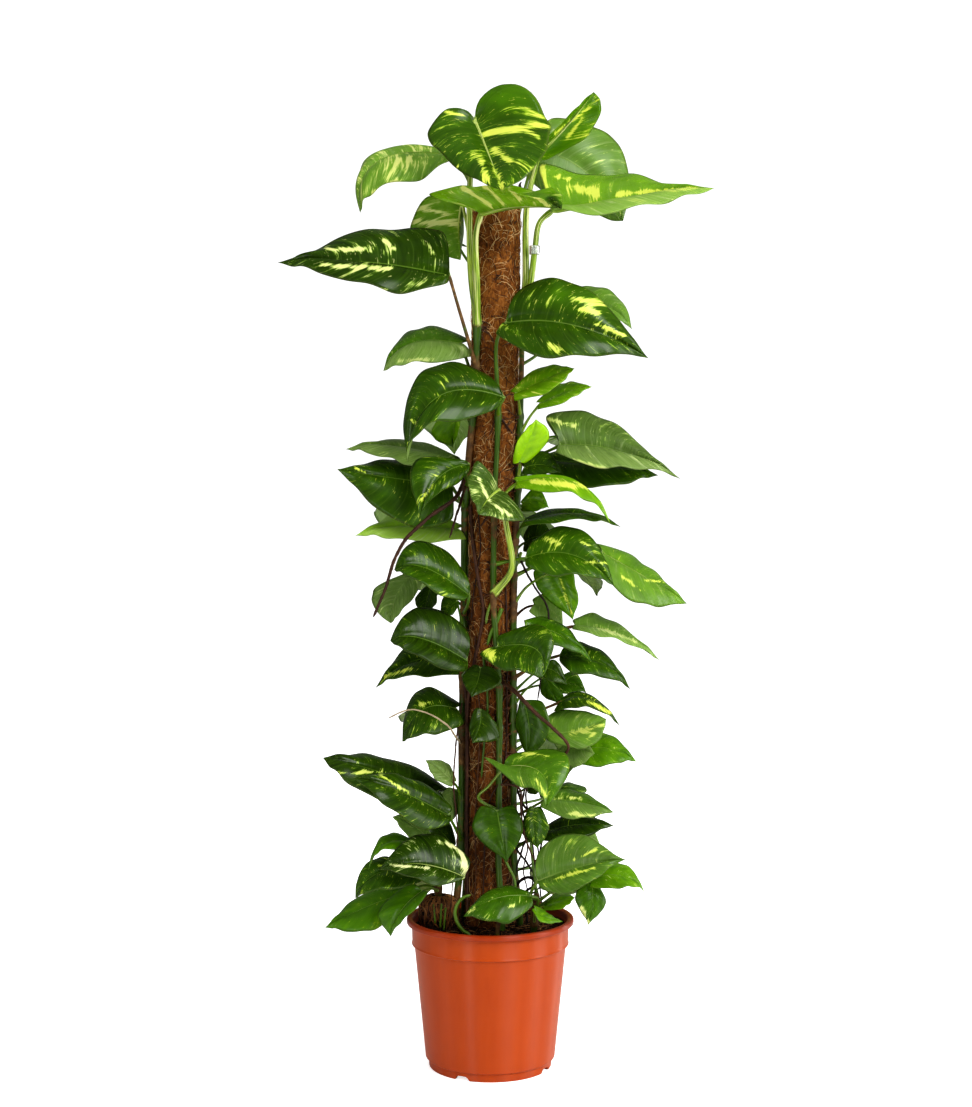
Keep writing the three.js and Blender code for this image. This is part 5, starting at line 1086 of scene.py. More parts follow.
def add_root(piece, path, radius, end_radius, hairs=0.0, shade=None):
    """A root with low bumps. hairs: how many fine ones stand out at each point of its path."""
    n = len(path)
    bumps = 1 + 0.07 * np.sin(np.arange(n) * 1.7) + 0.06 * rng.normal(size=n)
    r = np.linspace(radius, end_radius, n) * bumps
    r[-2:] *= [0.8, 0.4]
    shade = rng.uniform(0.2, 0.8) if shade is None else shade
    tube(piece, path, r, ROOT_SIDES, ridges(3, 0.06, rng.uniform(0, 6)), shade=shade)
    if not hairs:
        return
    _, normals, asides = frames_along(path)
    for i in range(2, n - 2):
        for _ in range(rng.poisson(hairs)):
            turn = rng.uniform(0, 2 * np.pi)
            out = normals[i] * np.cos(turn) + asides[i] * np.sin(turn)
            reach = rng.uniform(1.5, 4.5)
            tip = path[i] + out * (r[i] + reach) + rng.normal(0, 0.8, 3)
            mid = path[i] + out * (r[i] + reach / 2) + rng.normal(0, 0.4, 3)
            tube(piece, [path[i] + out * r[i] * 0.7, mid, tip], HAIR, 3, shade=0.9)


class Value:
    """A number or a colour that a material works out at each point. Numbers take + - and *."""

    def __init__(self, nodes, socket):
        self.nodes, self.socket = nodes, socket

    def __add__(self, other):
        return self.nodes.math("ADD", self, other)

    def __sub__(self, other):
        return self.nodes.math("SUBTRACT", self, other)

    def __rsub__(self, other):
        return self.nodes.math("SUBTRACT", other, self)

    def __mul__(self, other):
        return self.nodes.math("MULTIPLY", self, other)

    def step(self, low, high):
        """Smooth way from 0 at `low` to 1 at `high`, which may be the smaller one."""
        return self.nodes.node("MapRange", 0, {"interpolation_type": "SMOOTHSTEP"}, Value=self,
                               From_Min=low, From_Max=high)

    def ramp(self, *stops):
        node = self.nodes.new("ValToRGB")
        band = node.color_ramp
        while len(band.elements) < len(stops):
            band.elements.new(0.5)
        for element, (at, colour) in zip(band.elements, stops):
            element.position, element.color = at, (*colour, 1)
        self.nodes.link(self, node.inputs[0])
        return Value(self.nodes, node.outputs["Color"])


class Nodes:
    """Short way to write a material's node tree."""

    def __init__(self, name, roughness, **fixed):
        self.material = bpy.data.materials.new(name)
        self.material.use_nodes = True
        self.tree = self.material.node_tree
        self.shader = self.tree.nodes["Principled BSDF"]
        self.shader.inputs["Roughness"].default_value = roughness
        for socket, value in fixed.items():
            self.shader.inputs[socket.replace("_", " ")].default_value = value

    def new(self, kind):
        return self.tree.nodes.new("ShaderNode" + kind)

    def link(self, value, socket):
        if isinstance(value, Value):
            self.tree.links.new(value.socket, socket)
        else:
            socket.default_value = value

    def node(self, kind, out=0, settings=(), **inputs):
        """One output of a new node. Inputs go by name, or by number as i0, i1 and so on."""
        node = self.new(kind)
        for key, value in dict(settings).items():
            setattr(node, key, value)
        for key, value in inputs.items():
            numbered = key[0] == "i" and key[1:].isdigit()
            self.link(value, node.inputs[int(key[1:]) if numbered else key.replace("_", " ")])
        return Value(self, node.outputs[out])

    def attribute(self, name):
        return self.node("Attribute", "Fac", {"attribute_name": name})

    def math(self, operation, a, b=0.0, clamp=False):
        return self.node("Math", 0, {"operation": operation, "use_clamp": clamp}, i0=a, i1=b)

    def mix(self, share, a, b, blend="MIX"):
        node = self.new("Mix")
        node.data_type, node.blend_type = "RGBA", blend
        self.link(share, node.inputs[0])
        for colour, socket in ((a, node.inputs[6]), (b, node.inputs[7])):
            self.link(colour if isinstance(colour, Value) else (*colour, 1), socket)
        return Value(self, node.outputs[2])

    def noise(self, vector, scale, detail=3.0, roughness=0.55, distortion=0.0):
        return self.node("TexNoise", 0, {}, Vector=vector, Scale=scale, Detail=detail,
                         Roughness=roughness, Distortion=distortion)

    def stretch(self, vector, x, y, z=1.0):
        return self.node("Mapping", 0, {}, Vector=vector, Scale=(x, y, z))

    def split(self, vector):
        node = self.new("SeparateXYZ")
        self.link(vector, node.inputs[0])
        return [Value(self, socket) for socket in node.outputs]

    def place(self):
        return self.node("TexCoord", "Object")

    def grain(self):
        return self.node("UVMap", 0, {"uv_map": "grain"})

    def bump(self, height, strength, distance):
        normal = self.node("Bump", 0, {}, Height=height, Strength=strength, Distance=distance)
        self.link(normal, self.shader.inputs["Normal"])

    def finish(self, colour, roughness=None):
        self.link(colour, self.shader.inputs["Base Color"])
        if roughness is not None:
            self.link(roughness, self.shader.inputs["Roughness"])
        return self.material


def srgb(r, g, b):
    """Screen colour (0-255) as the linear one that shaders use."""
    return tuple(((c / 255 + 0.055) / 1.055) ** 2.4 if c > 10 else c / 255 / 12.92
                 for c in (r, g, b))


def leaf_material():
    m = Nodes("waxy_leaf", 0.3, Specular_IOR_Level=0.24)
    uv = m.grain()
    tone, streaks, pale, mark, wash = [m.attribute(name) for name in LEAF_VALUES]
    vein_at, across, _ = m.split(uv)
    # Streaks run along the side veins, in patches
    long_grain = m.noise(m.stretch(uv, 5.0, 0.8), 1.0, 4.0, 0.62, 0.7)
    fine_grain = m.noise(m.stretch(uv, 19.0, 2.4), 1.0, 4.0, 0.68, 0.5)
    cloud = m.noise(m.stretch(uv, 1.3, 1.6), 1.0, 2.0)
    level = (streaks - 0.52) * 0.6
    for grain, share in ((long_grain, 2.0), (fine_grain, 1.6), (cloud, 1.5)):
        level = (grain - 0.5) * share + level
    level = mark * 0.8 + level
    lime, cream = level.step(0.24, 0.4), level.step(0.36, 0.56)
    # Short thin flecks, most of them where the streaks are near
    dots = m.noise(m.stretch(uv, 17.0, 5.5), 1.0, 3.0, 0.6, 0.8)
    fleck = (dots + level.step(-0.5, 0.3) * 0.12).step(0.72, 0.77)
    green = (tone + (cloud - 0.5) * 0.5).ramp(
        (0.0, srgb(20, 37, 2)), (0.14, srgb(31, 56, 3)), (0.28, srgb(47, 81, 4)),
        (0.5, srgb(72, 118, 6)), (0.75, srgb(116, 165, 12)), (1.0, srgb(156, 205, 18)))
    sheen = m.math("ADD", (long_grain - 0.5) * 0.45, 0.13, clamp=True)
    green = m.mix(sheen, green, srgb(98, 142, 12))
    yellow = m.mix(pale, srgb(214, 224, 74), srgb(232, 232, 176))
    middle = m.mix(pale, srgb(136, 176, 24), srgb(158, 184, 92))
    colour = m.mix(lime, green, middle)
    colour = m.mix(m.math("MAXIMUM", cream, fleck * 0.55), colour, yellow)
    # Midrib, side veins and margin
    rib = 1.0 - across.step(0.008, 0.028)
    wave = m.math("ABSOLUTE", m.math("SINE", vein_at * (math.pi / VEIN_STEP)))
    vein = 1.0 - wave.step(0.0, 0.2)
    colour = m.mix(rib * 0.45, colour, srgb(130, 164, 60))
    colour = m.mix(vein * 0.07, colour, srgb(140, 174, 70))
    colour = m.mix(across.step(0.95, 0.995) * 0.4, colour, srgb(120, 140, 60))
    # Lower faces are paler and greyer: their own colour, with painted light that shines through
    # them.
    # The halves that catch the light flat get the same pale colour as a painted sheen
    underside_sheen_colour = m.mix(0.62, colour, srgb(156, 184, 100))
    underside_sheen_colour = m.mix(long_grain.step(0.54, 0.68) * 0.5, underside_sheen_colour, srgb(204, 218, 156))
    underside_sheen_colour = m.mix(fine_grain.step(0.5, 0.36) * 0.5, underside_sheen_colour, colour)
    underside_sheen_colour = m.mix(vein * 0.16, underside_sheen_colour, srgb(190, 208, 150))
    underside_sheen_colour = m.mix(rib * 0.6, underside_sheen_colour, srgb(186, 206, 140))
    rough = m.noise(m.place(), 60.0, 3.0) * 0.12 + 0.19 + wash * 0.16
    m.bump(wave * 0.6 + fine_grain * 0.5 + m.noise(m.place(), 900.0, 2.0) * 0.25, 0.34, 0.0006)
    return m.finish(m.mix(wash, colour, underside_sheen_colour), rough)


def stalk_material():
    m = Nodes("green_stalk", 0.4, Specular_IOR_Level=0.35)
    brown, tint, ring = [m.attribute(name) for name in STALK_VALUES]
    lines = m.noise(m.stretch(m.grain(), 16.0, 0.012), 1.0, 3.0, 0.6)
    spots = m.noise(m.place(), 90.0, 4.0, 0.65)
    green = tint.ramp((0.0, srgb(40, 66, 8)), (0.5, srgb(88, 122, 16)),
                      (0.8, srgb(134, 166, 36)), (1.0, srgb(166, 190, 66)))
    green = m.mix(lines.step(0.52, 0.6) * tint.step(0.35, 0.8), green, srgb(216, 218, 150))
    green = m.mix(lines.step(0.5, 0.36), green, srgb(44, 74, 10))
    bark = spots.ramp((0.3, srgb(58, 36, 16)), (0.55, srgb(104, 72, 34)),
                      (0.75, srgb(148, 116, 66)))
    share = (brown + (spots - 0.5) * 1.3).step(0.42, 0.72)
    colour = m.mix(share, green, bark)
    colour = m.mix(ring * 0.3, colour, srgb(96, 74, 38))
    m.bump(lines + m.noise(m.place(), 700.0, 3.0) * 0.6, 0.5, 0.0008)
    return m.finish(colour, share * 0.35 + 0.3)


def root_material():
    m = Nodes("aerial_root", 0.6, Specular_IOR_Level=0.35)
    tone = m.attribute("shade") * 0.6 + m.noise(m.place(), 120.0, 4.0, 0.6) * 0.4
    m.bump(m.noise(m.stretch(m.grain(), 6.0, 0.5), 1.0, 4.0), 0.6, 0.0008)
    return m.finish(tone.ramp((0.2, srgb(26, 14, 8)), (0.42, srgb(62, 34, 18)),
                              (0.66, srgb(104, 66, 36)), (0.9, srgb(176, 158, 128))))


def aged_and_shaded(m, colour):
    """Coir colour, darker towards the foot of the pole: partly older coir, partly painted shade of
    the leaves.
    """
    _, _, height = m.split(m.place())
    # Painted shade of the leaves over the low coir, along with its older colour
    return m.mix((1.0 - height.step(0.25, 1.1)) * 0.7, colour, (0.42, 0.36, 0.34), "MULTIPLY")


def coir_material():
    m = Nodes("coir_mat", 0.95, Specular_IOR_Level=0.15)
    fibre = m.noise(m.stretch(m.place(), 260.0, 260.0, 90.0), 1.0, 5.0, 0.7, 1.5)
    tone = fibre * 0.75 + m.noise(m.place(), 26.0, 3.0) * 0.3
    m.bump(fibre, 1.0, 0.003)
    return m.finish(aged_and_shaded(m, tone.ramp((0.36, srgb(48, 25, 10)), (0.5, srgb(122, 72, 28)),
                                      (0.64, srgb(176, 116, 54)), (0.8, srgb(208, 152, 84)))))


def fibre_material():
    m = Nodes("coir_fibre", 0.6, Specular_IOR_Level=0.4)
    tone = m.attribute("shade") + (m.noise(m.place(), 150.0, 2.0) - 0.5) * 0.3
    return m.finish(aged_and_shaded(m, tone.ramp((0.0, srgb(38, 18, 8)), (0.4, srgb(134, 82, 36)),
                                      (0.7, srgb(192, 134, 70)), (1.0, srgb(240, 204, 146)))))


def soil_material():
    m = Nodes("peat", 1.0, Specular_IOR_Level=0.2)
    grains = m.noise(m.place(), 420.0, 5.0, 0.7)
    clods = m.noise(m.place(), 60.0, 4.0, 0.6)
    m.bump(grains + clods, 1.0, 0.003)
    tone = grains * 0.55 + clods * 0.5
    return m.finish(tone.ramp((0.38, srgb(20, 11, 8)), (0.55, srgb(48, 28, 18)),
                              (0.68, srgb(84, 54, 34)), (0.8, srgb(132, 96, 62))))


def pot_material():
    m = Nodes("pot_plastic", 0.4, Specular_IOR_Level=0.36, Anisotropic=0.95,
              Anisotropic_Rotation=0.25)
    # Fine turning marks of the mould draw the bright bands out upright
    around = m.node("Tangent", 0, {"direction_type": "RADIAL", "axis": "Z"})
    m.link(around, m.shader.inputs["Tangent"])
    flow = m.noise(m.stretch(m.place(), 60.0, 60.0, 2.5), 1.0, 3.0)
    cloud = m.noise(m.place(), 9.0, 3.0)
    dust = m.noise(m.place(), 240.0, 4.0, 0.7)
    _, _, height = m.split(m.place())
    colour = (flow * 0.5 + cloud * 0.5).ramp((0.35, srgb(176, 67, 7)), (0.65, srgb(186, 75, 11)))
    # The rim is painted darker and redder, a painted shade, and the foot is dusty
    lip = (RIM_HEIGHT - RIM_DEPTH) * MM
    colour = m.mix(height.step(lip - 0.0025, lip + 0.0005) * 0.55, colour, srgb(138, 36, 4))
    colour = m.mix(height.step(0.03, 0.0) * dust.step(0.5, 0.7) * 0.3, colour,
                   srgb(150, 90, 60))
    m.bump(flow * 0.5 + dust * 0.15, 0.12, 0.001)
    return m.finish(colour, dust * 0.08 + 0.36)


def wood_material():
    m = Nodes("stake_wood", 0.8)
    rings = m.noise(m.stretch(m.place(), 180.0, 180.0, 12.0), 1.0, 4.0)
    m.bump(rings, 0.6, 0.001)
    return m.finish(rings.ramp((0.35, srgb(70, 46, 26)), (0.65, srgb(140, 104, 64))))


def clip_material():
    m = Nodes("clear_clip", 0.18, Transmission_Weight=0.75, IOR=1.46)
    haze = m.noise(m.place(), 200.0, 2.0)
    return m.finish(haze.ramp((0.3, srgb(225, 230, 224)), (0.7, srgb(244, 246, 242))))


def lathe(profile, sides, name):
    """Closed turned body from (radius, height) pairs; a radius of 0 closes it on the axis."""
    points, rings = [], []
    for radius, z in profile:
        if radius == 0:
            rings.append([len(points)] * sides)
            points.append((0, 0, z * MM))
        else:
            rings.append(list(range(len(points), len(points) + sides)))
            points += [(radius * MM * math.cos(a), radius * MM * math.sin(a), z * MM)
                       for a in turns(sides)]
    faces = []
    for low, high in zip(rings, rings[1:]):
        for i in range(sides):
            j = (i + 1) % sides
            ring = [low[i], low[j], high[j], high[i]]
            ring = [c for n, c in enumerate(ring) if c != ring[n - 1]]
            if len(ring) > 2:
                faces.append(ring)
    mesh = bpy.data.meshes.new(name)
    mesh.from_pydata(points, [], faces)
    mesh.update()
    return in_scene(name, mesh)


def arc(centre, radius, start, end, steps):
    """Points of a rounded corner in the (radius, height) plane; angles in degrees."""
    return [(centre[0] + radius * math.cos(math.radians(a)),
             centre[1] + radius * math.sin(math.radians(a)))
            for a in np.linspace(start, end, steps)]


def drum(radius, low, high, centre, sides=28, squeeze=1.0, turn=0.0):
    """Points and faces of an upright cylinder, squeezed to an oval and turned."""
    a = turns(sides)
    x, y = radius * np.cos(a), radius * squeeze * np.sin(a)
    ring = np.stack([centre[0] + x * math.cos(turn) - y * math.sin(turn),
                     centre[1] + x * math.sin(turn) + y * math.cos(turn)], 1)
    points = [(*p, z) for z in (low, high) for p in ring]
    faces = [[i, (i + 1) % sides, sides + (i + 1) % sides, sides + i] for i in range(sides)]
    return points, faces + [list(range(sides))[::-1], list(range(sides, 2 * sides))]


def cut(obj, cutters, name):
    """The object less all the cutters, as a plain mesh."""
    points, faces = [], []
    for some, rows in cutters:
        faces += [[i + len(points) for i in row] for row in rows]
        points += [tuple(c * MM for c in p) for p in some]
    mesh = bpy.data.meshes.new(name + "_cutters")
    mesh.from_pydata(points, [], faces)
    tool = in_scene(name + "_cutters", mesh)
    boolean = obj.modifiers.new("cut", "BOOLEAN")
    boolean.operation, boolean.solver, boolean.object = "DIFFERENCE", "EXACT", tool
    bpy.context.view_layer.update()
    done = bpy.data.meshes.new_from_object(obj.evaluated_get(
        bpy.context.evaluated_depsgraph_get()))
    bpy.data.objects.remove(obj)
    bpy.data.objects.remove(tool)
    done.name = name
    return bpy.data.objects.new(name, done)


def pot_outside():
    """Outline of the pot's outside, from the foot ring up and over the rim."""
    top, lip = RIM_HEIGHT, RIM_HEIGHT - RIM_DEPTH
    wall = [(FOOT_RADIUS - FOOT_RING, 0), (FOOT_RADIUS - FOOT_CORNER, 0)]
    wall += arc((FOOT_RADIUS - FOOT_CORNER, FOOT_CORNER), FOOT_CORNER, -90, 0, 4)
    wall += [(FOOT_RADIUS + 0.6, FOOT_HEIGHT - 1)]
    wall += arc((BODY_FOOT_RADIUS - BODY_CORNER, FOOT_HEIGHT + BODY_CORNER), BODY_CORNER,
                -80, -5, 6)
    for t in np.linspace(0.06, 0.98, 14):
        wall.append((BODY_FOOT_RADIUS + (BODY_TOP_RADIUS - BODY_FOOT_RADIUS) * t,
                     FOOT_HEIGHT + SLOPE + (COLLAR_FOOT - 2 * SLOPE - FOOT_HEIGHT) * t))
    wall += [(BODY_TOP_RADIUS + 0.4, COLLAR_FOOT - SLOPE)]
    wall += arc((COLLAR_RADIUS - 1.6, COLLAR_FOOT - 0.6), BEAD, -80, 50, 6)
    wall += [(COLLAR_RADIUS - 0.9, COLLAR_FOOT + 2), (COLLAR_RADIUS - 0.2, lip - 3)]
    wall += arc((COLLAR_RADIUS + UNDER_LIP, lip - UNDER_LIP), UNDER_LIP, 180, 90, 5)
    wall += arc((RIM_RADIUS - LIP_CORNER, lip + LIP_CORNER), LIP_CORNER, -90, 0, 5)
    wall += arc((RIM_RADIUS - RIM_CORNER, top - RIM_CORNER), RIM_CORNER, 0, 90, 8)
    wall += arc((COLLAR_RADIUS - WALL + RIM_INNER_CORNER, top - RIM_INNER_CORNER),
                RIM_INNER_CORNER, 90, 180, 6)
    return wall


def pot_inside():
    """Outline of the pot's inside, from the rim down to the middle of the floor."""
    return [(COLLAR_RADIUS - WALL, RIM_HEIGHT - RIM_DEPTH - 4),
            (COLLAR_RADIUS - WALL - 1, COLLAR_FOOT + WALL),
            (BODY_TOP_RADIUS - WALL, COLLAR_FOOT - SLOPE + WALL),
            (BODY_FOOT_RADIUS - WALL, FOOT_HEIGHT + SLOPE + WALL),
            (FOOT_RADIUS - WALL, FOOT_HEIGHT + 1), (FOOT_RADIUS - WALL, FLOOR_TOP),
            (0, FLOOR_TOP)]


def notch(turn):
    """Cutter for an arched notch through the foot ring."""
    ca, sa = math.cos(turn), math.sin(turn)
    edge = -NOTCH_WIDTH / 2
    half = [(edge - 1.5, -3), (edge, 1.2), (edge + 2, 4), (edge + 5, NOTCH_HEIGHT),
            (0, NOTCH_HEIGHT + 0.3)]
    outline = half + [(-x, z) for x, z in half[-2::-1]]
    points = [(r * ca - x * sa, r * sa + x * ca, z)
              for r in (FOOT_RADIUS - FOOT_RING - 3, FOOT_RADIUS + 6) for x, z in outline]
    n = len(outline)
    faces = [[n + k, n + (k + 1) % n, (k + 1) % n, k] for k in range(n)]
    return points, faces + [list(range(n)), list(range(n, 2 * n))[::-1]]


def on_circle(radius, turn):
    return radius * math.cos(turn), radius * math.sin(turn)


def build_pot():
    below = [(0, 0), (BASE_DISC, 0), (BASE_DISC, FLOOR_TOP - WALL),
             (FOOT_RADIUS - FOOT_RING, FLOOR_TOP - WALL)]
    shell = lathe(below + pot_outside() + pot_inside(), POT_SIDES, "pot_turned")
    cutters = [notch(math.radians(NOTCH_TURN + 360 * i / NOTCHES)) for i in range(NOTCHES)]
    for i in range(DRAINS):
        centre = on_circle(DRAIN_CIRCLE, 2 * math.pi * (i + 0.5) / DRAINS)
        cutters.append(drum(DRAIN_RADIUS, -5, FLOOR_TOP + 5, centre))
    for i in range(SLOTS):
        turn = math.radians(SLOT_TURN + 360 * i / SLOTS)
        cutters.append(drum(SLOT_RADIUS, FOOT_HEIGHT - 1.6, FOOT_HEIGHT + 3.4,
                            on_circle(FOOT_RADIUS + SLOT_OUT, turn), 14, SLOT_SQUEEZE, turn))
    pot = cut(shell, cutters, "pot_shell")
    pot.data.polygons.foreach_set("use_smooth", np.ones(len(pot.data.polygons), bool))
    pot.data.set_sharp_from_angle(angle=math.radians(POT_EDGE_ANGLE))
    dress(pot, ["pot"], pot_material())


def sleeve_bump(z, azimuth):
    """How far the coir stands off its plain round surface: lumps and low wrap lines."""
    lump = 0.5 * np.sin(3 * azimuth + z / 27) * np.sin(z / 41 + 1.3)
    lump = lump + 0.35 * np.sin(7 * azimuth - z / 13) + 0.3 * np.sin(11 * azimuth + z / 7.3)
    return lump - 0.7


def build_mat():
    """The coir mat as a thick rough tube, open round the stake."""
    z = np.linspace(MAT_FOOT, POLE_TOP, MAT_ROWS)
    azimuth = turns(MAT_AROUND)
    zz, aa = np.meshgrid(z, azimuth, indexing="ij")
    rough = rng.normal(0, 1, zz.shape)
    for _ in range(2):
        rough = (rough + np.roll(rough, 1, 0) + np.roll(rough, 1, 1)
                 + np.roll(rough, -1, 0) + np.roll(rough, -1, 1)) / 5
    rough /= rough.std()
    radius = POLE_RADIUS + sleeve_bump(zz, aa) + 0.45 * rough
    radius[-4:] -= np.array([0.3, 0.8, 1.6, 3.0])[:, None]
    points = np.vstack([around_pole(zz, aa, radius).reshape(-1, 3),
                        around_pole(POLE_TOP - 0.5, azimuth, MAT_BORE),
                        around_pole(MAT_FOOT - 1, azimuth, MAT_BORE)])
    quads, _, _ = ring_quads(MAT_ROWS + 2, MAT_AROUND)
    s = np.arange(MAT_AROUND)
    e = (s + 1) % MAT_AROUND
    foot = (MAT_ROWS + 1) * MAT_AROUND
    quads = np.vstack([quads, np.stack([foot + s, foot + e, e, s], 1)])
    piece = Piece()
    piece.add(points, [quads], [points[quads][..., [0, 2]]])
    piece.make("coir_mat", "coir", ["coir_sleeve"], coir_material())


def build_fuzz():
    """Short fibres that stand off the mat, its frayed top and the straw wound round it there."""
    fuzz = Piece("shade")
    for _ in range(FUZZ):
        start_z, start_a = rng.uniform(FUZZ_FOOT, POLE_TOP - 2), rng.uniform(0, 2 * np.pi)
        reach, bend = rng.uniform(2.0, 6.5), rng.uniform(-9, 9)
        t = np.linspace(0, 1, 4)
        path = around_pole(start_z + bend * t ** 1.5 * rng.uniform(0.3, 1.0),
                           start_a + rng.uniform(-0.22, 0.22) * t,
                           POLE_RADIUS - 1.5 + reach * np.sin(t * rng.uniform(1.2, 2.6)))
        tube(fuzz, path, [0.2, 0.18, 0.15, 0.06], 3, shade=rng.uniform(0.35, 1.0))
    for _ in range(FRAYS):
        start_a = rng.uniform(0, 2 * np.pi)
        t = np.linspace(0, 1, 5)
        lean, rise = rng.uniform(-0.5, 0.5), rng.uniform(-3, 3.4)
        path = around_pole(POLE_TOP - 6 + (6 + rise) * np.sin(t * 2.2), start_a + lean * t,
                           POLE_RADIUS - 1 - rng.uniform(1, 15) * t ** 1.4)
        tube(fuzz, path, np.linspace(0.3, 0.12, 5), 3, shade=rng.uniform(0.3, 0.95))
    for i in range(STRAWS):
        t = np.linspace(0, 2 * np.pi, 90)
        level = STRAW_FOOT + STRAW_STEP * i + rng.uniform(-0.6, 0.6)
        path = around_pole(level + 1.2 * np.sin(t + i) + 0.7 * np.sin(3 * t + 2 * i), t,
                           POLE_RADIUS - 0.1 + 0.35 * np.sin(5 * t + i))
        tube(fuzz, path, 0.42, 5, shade=0.97)
    fuzz.make("coir_fuzz", "coir", ["coir_sleeve"], fibre_material())


def steps_along(turn, length):
    """Places along a wandering line of this length, from its heading at each of them."""
    step = length / (len(turn) - 1)
    return [np.concatenate([[0], np.cumsum(f(turn[1:]) * step)]) for f in (np.cos, np.sin)]


def strand(piece, length, thick, shade, lift):
    """A fibre lying on the pole: it starts in the mat, arches over it and dives back."""
    heading = rng.uniform(0, np.pi)
    curl = rng.normal(0, 1.1) / length
    t = np.linspace(0, length, max(3, int(length / 8)) + 1)
    turn = heading + curl * t + 0.25 * np.sin(t / rng.uniform(4, 9) + rng.uniform(0, 6))
    sideways, dz = steps_along(turn, length)
    z = np.clip(rng.uniform(STRAND_FOOT, POLE_TOP - 3) + dz, STRAND_FOOT - 4, POLE_TOP - 1.5)
    azimuth = rng.uniform(0, 2 * np.pi) + sideways / POLE_RADIUS
    arch = np.abs(np.sin(np.pi * t / length)) ** 0.6
    off = sleeve_bump(z, azimuth) + lift * arch - 0.35
    tube(piece, around_pole(z, azimuth, POLE_RADIUS + off), thick * rng.uniform(0.7, 1.25), 3,
         shade=shade)


def build_pole():
    build_mat()
    strands = Piece("shade")
    for count, shortest, longest, thick, dark, light, lift in STRANDS:
        for _ in range(count):
            strand(strands, rng.uniform(shortest, longest), thick, rng.uniform(dark, light), lift)
    strands.make("coir_strands", "coir", ["coir_sleeve"], fibre_material())
    build_fuzz()
    dress(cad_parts["pole_core"], [], wood_material())


def soil_height(x, y):
    """Height of the soil: a low mound with lumps of three sizes."""
    mound = SOIL_TOP - 2 + MOUND_HEIGHT * np.clip(1 - np.hypot(x, y) / MOUND_RADIUS, 0, 1)
    return (mound + 1.2 * np.sin(x / 9) * np.sin(y / 8 + 1) + 0.8 * np.sin(x / 4.1 + y / 5.3)
            + 0.6 * np.sin(x / 2.3 - y / 2.9))


def add_bed(piece):
    """Top of the soil, with its edge down inside the pot."""
    radius = np.concatenate([np.linspace(2, BED_RADIUS, BED_RINGS),
                             [BED_RADIUS - 0.2, BED_RADIUS - 1]])
    rr, aa = np.meshgrid(radius, turns(BED_AROUND), indexing="ij")
    x, y = rr * np.cos(aa), rr * np.sin(aa)
    z = soil_height(x, y) + rng.normal(0, 0.35, x.shape)
    z[-2:] = np.array([[BED_EDGE], [BED_FOOT]])
    points = np.vstack([np.stack([x, y, z], -1).reshape(-1, 3),
                        [[0, 0, soil_height(0.0, 0.0)], [0, 0, BED_FOOT]]])
    centre = len(points) - 2
    quads = ring_quads(len(radius), BED_AROUND)[0][:, ::-1]
    caps = np.vstack([fan(0, BED_AROUND, centre),
                      fan(centre - BED_AROUND, BED_AROUND, centre + 1)[:, [1, 0, 2]]])
    piece.add(points, [quads, caps], [points[quads][..., :2], points[caps][..., :2]])


def add_plug(piece):
    """The lumpy root plug that stands out of the soil at the left."""
    levels = np.concatenate([np.linspace(PLUG_FOOT, PLUG_TOP - 4, PLUG_RINGS),
                             [PLUG_TOP - 2, PLUG_TOP - 1, PLUG_TOP - 0.5]])
    shrink = np.concatenate([np.linspace(1.0, 0.93, PLUG_RINGS), [0.8, 0.5, 0.12]])[:, None]
    zz, aa = np.meshgrid(levels, turns(PLUG_AROUND), indexing="ij")
    lump = (1.4 * np.sin(4 * aa + zz / 6) + 1.0 * np.sin(9 * aa - zz / 3.1)
            + rng.normal(0, 0.5, zz.shape))
    rad = PLUG_RADIUS * shrink - 1.5 + lump * np.clip(shrink, 0.3, 1)
    points = round_plug(rad, aa, zz).reshape(-1, 3)
    quads, _, _ = ring_quads(len(levels), PLUG_AROUND)
    ring = np.arange(PLUG_AROUND)
    ends = np.stack([ring[::-1], ring + len(points) - PLUG_AROUND])
    piece.add(points, [quads, ends], [points[quads][..., [0, 2]], points[ends][..., :2]])


def round_plug(radius, angle, z):
    """Points round the axis of the root plug."""
    return np.stack([PLUG_X + radius * np.cos(angle), PLUG_Y + radius * np.sin(angle), z], -1)


def build_bed():
    piece = Piece()
    add_bed(piece)
    add_plug(piece)
    piece.make("soil_bed", "peat", ["soil"], soil_material())


# A crumb of soil: a rough lump of ten points
CRUMB = np.array([(1, 0, 0), (-1, 0, 0), (0, 1, 0), (0, -1, 0), (0, 0, 1), (0, 0, -1),
                  (0.6, 0.6, 0.6), (-0.6, 0.6, 0.6), (0.6, -0.6, 0.6), (-0.6, -0.6, 0.6)], float)
CRUMB_FACES = np.array([(0, 6, 8), (0, 8, 3), (0, 3, 5), (0, 5, 2), (0, 2, 6), (1, 9, 7),
                        (1, 7, 2), (1, 2, 5), (1, 5, 3), (1, 3, 9), (4, 6, 7), (4, 7, 9),
                        (4, 9, 8), (4, 8, 6), (2, 7, 6), (3, 8, 9)])


def crumb(piece, centre, size):
    """A crumb of soil, turned, stretched and dented at random."""
    turn = rng.uniform(0, 2 * np.pi)
    spin = np.array([[np.cos(turn), -np.sin(turn), 0], [np.sin(turn), np.cos(turn), 0],
                     [0, 0, 1]])
    stretch = size * rng.uniform(0.55, 1.1, 3) * np.array([1, 1, 0.7])
    points = (CRUMB + rng.normal(0, 0.13, CRUMB.shape)) @ spin.T * stretch + centre
    piece.add(points, [CRUMB_FACES], [points[CRUMB_FACES][..., :2]])


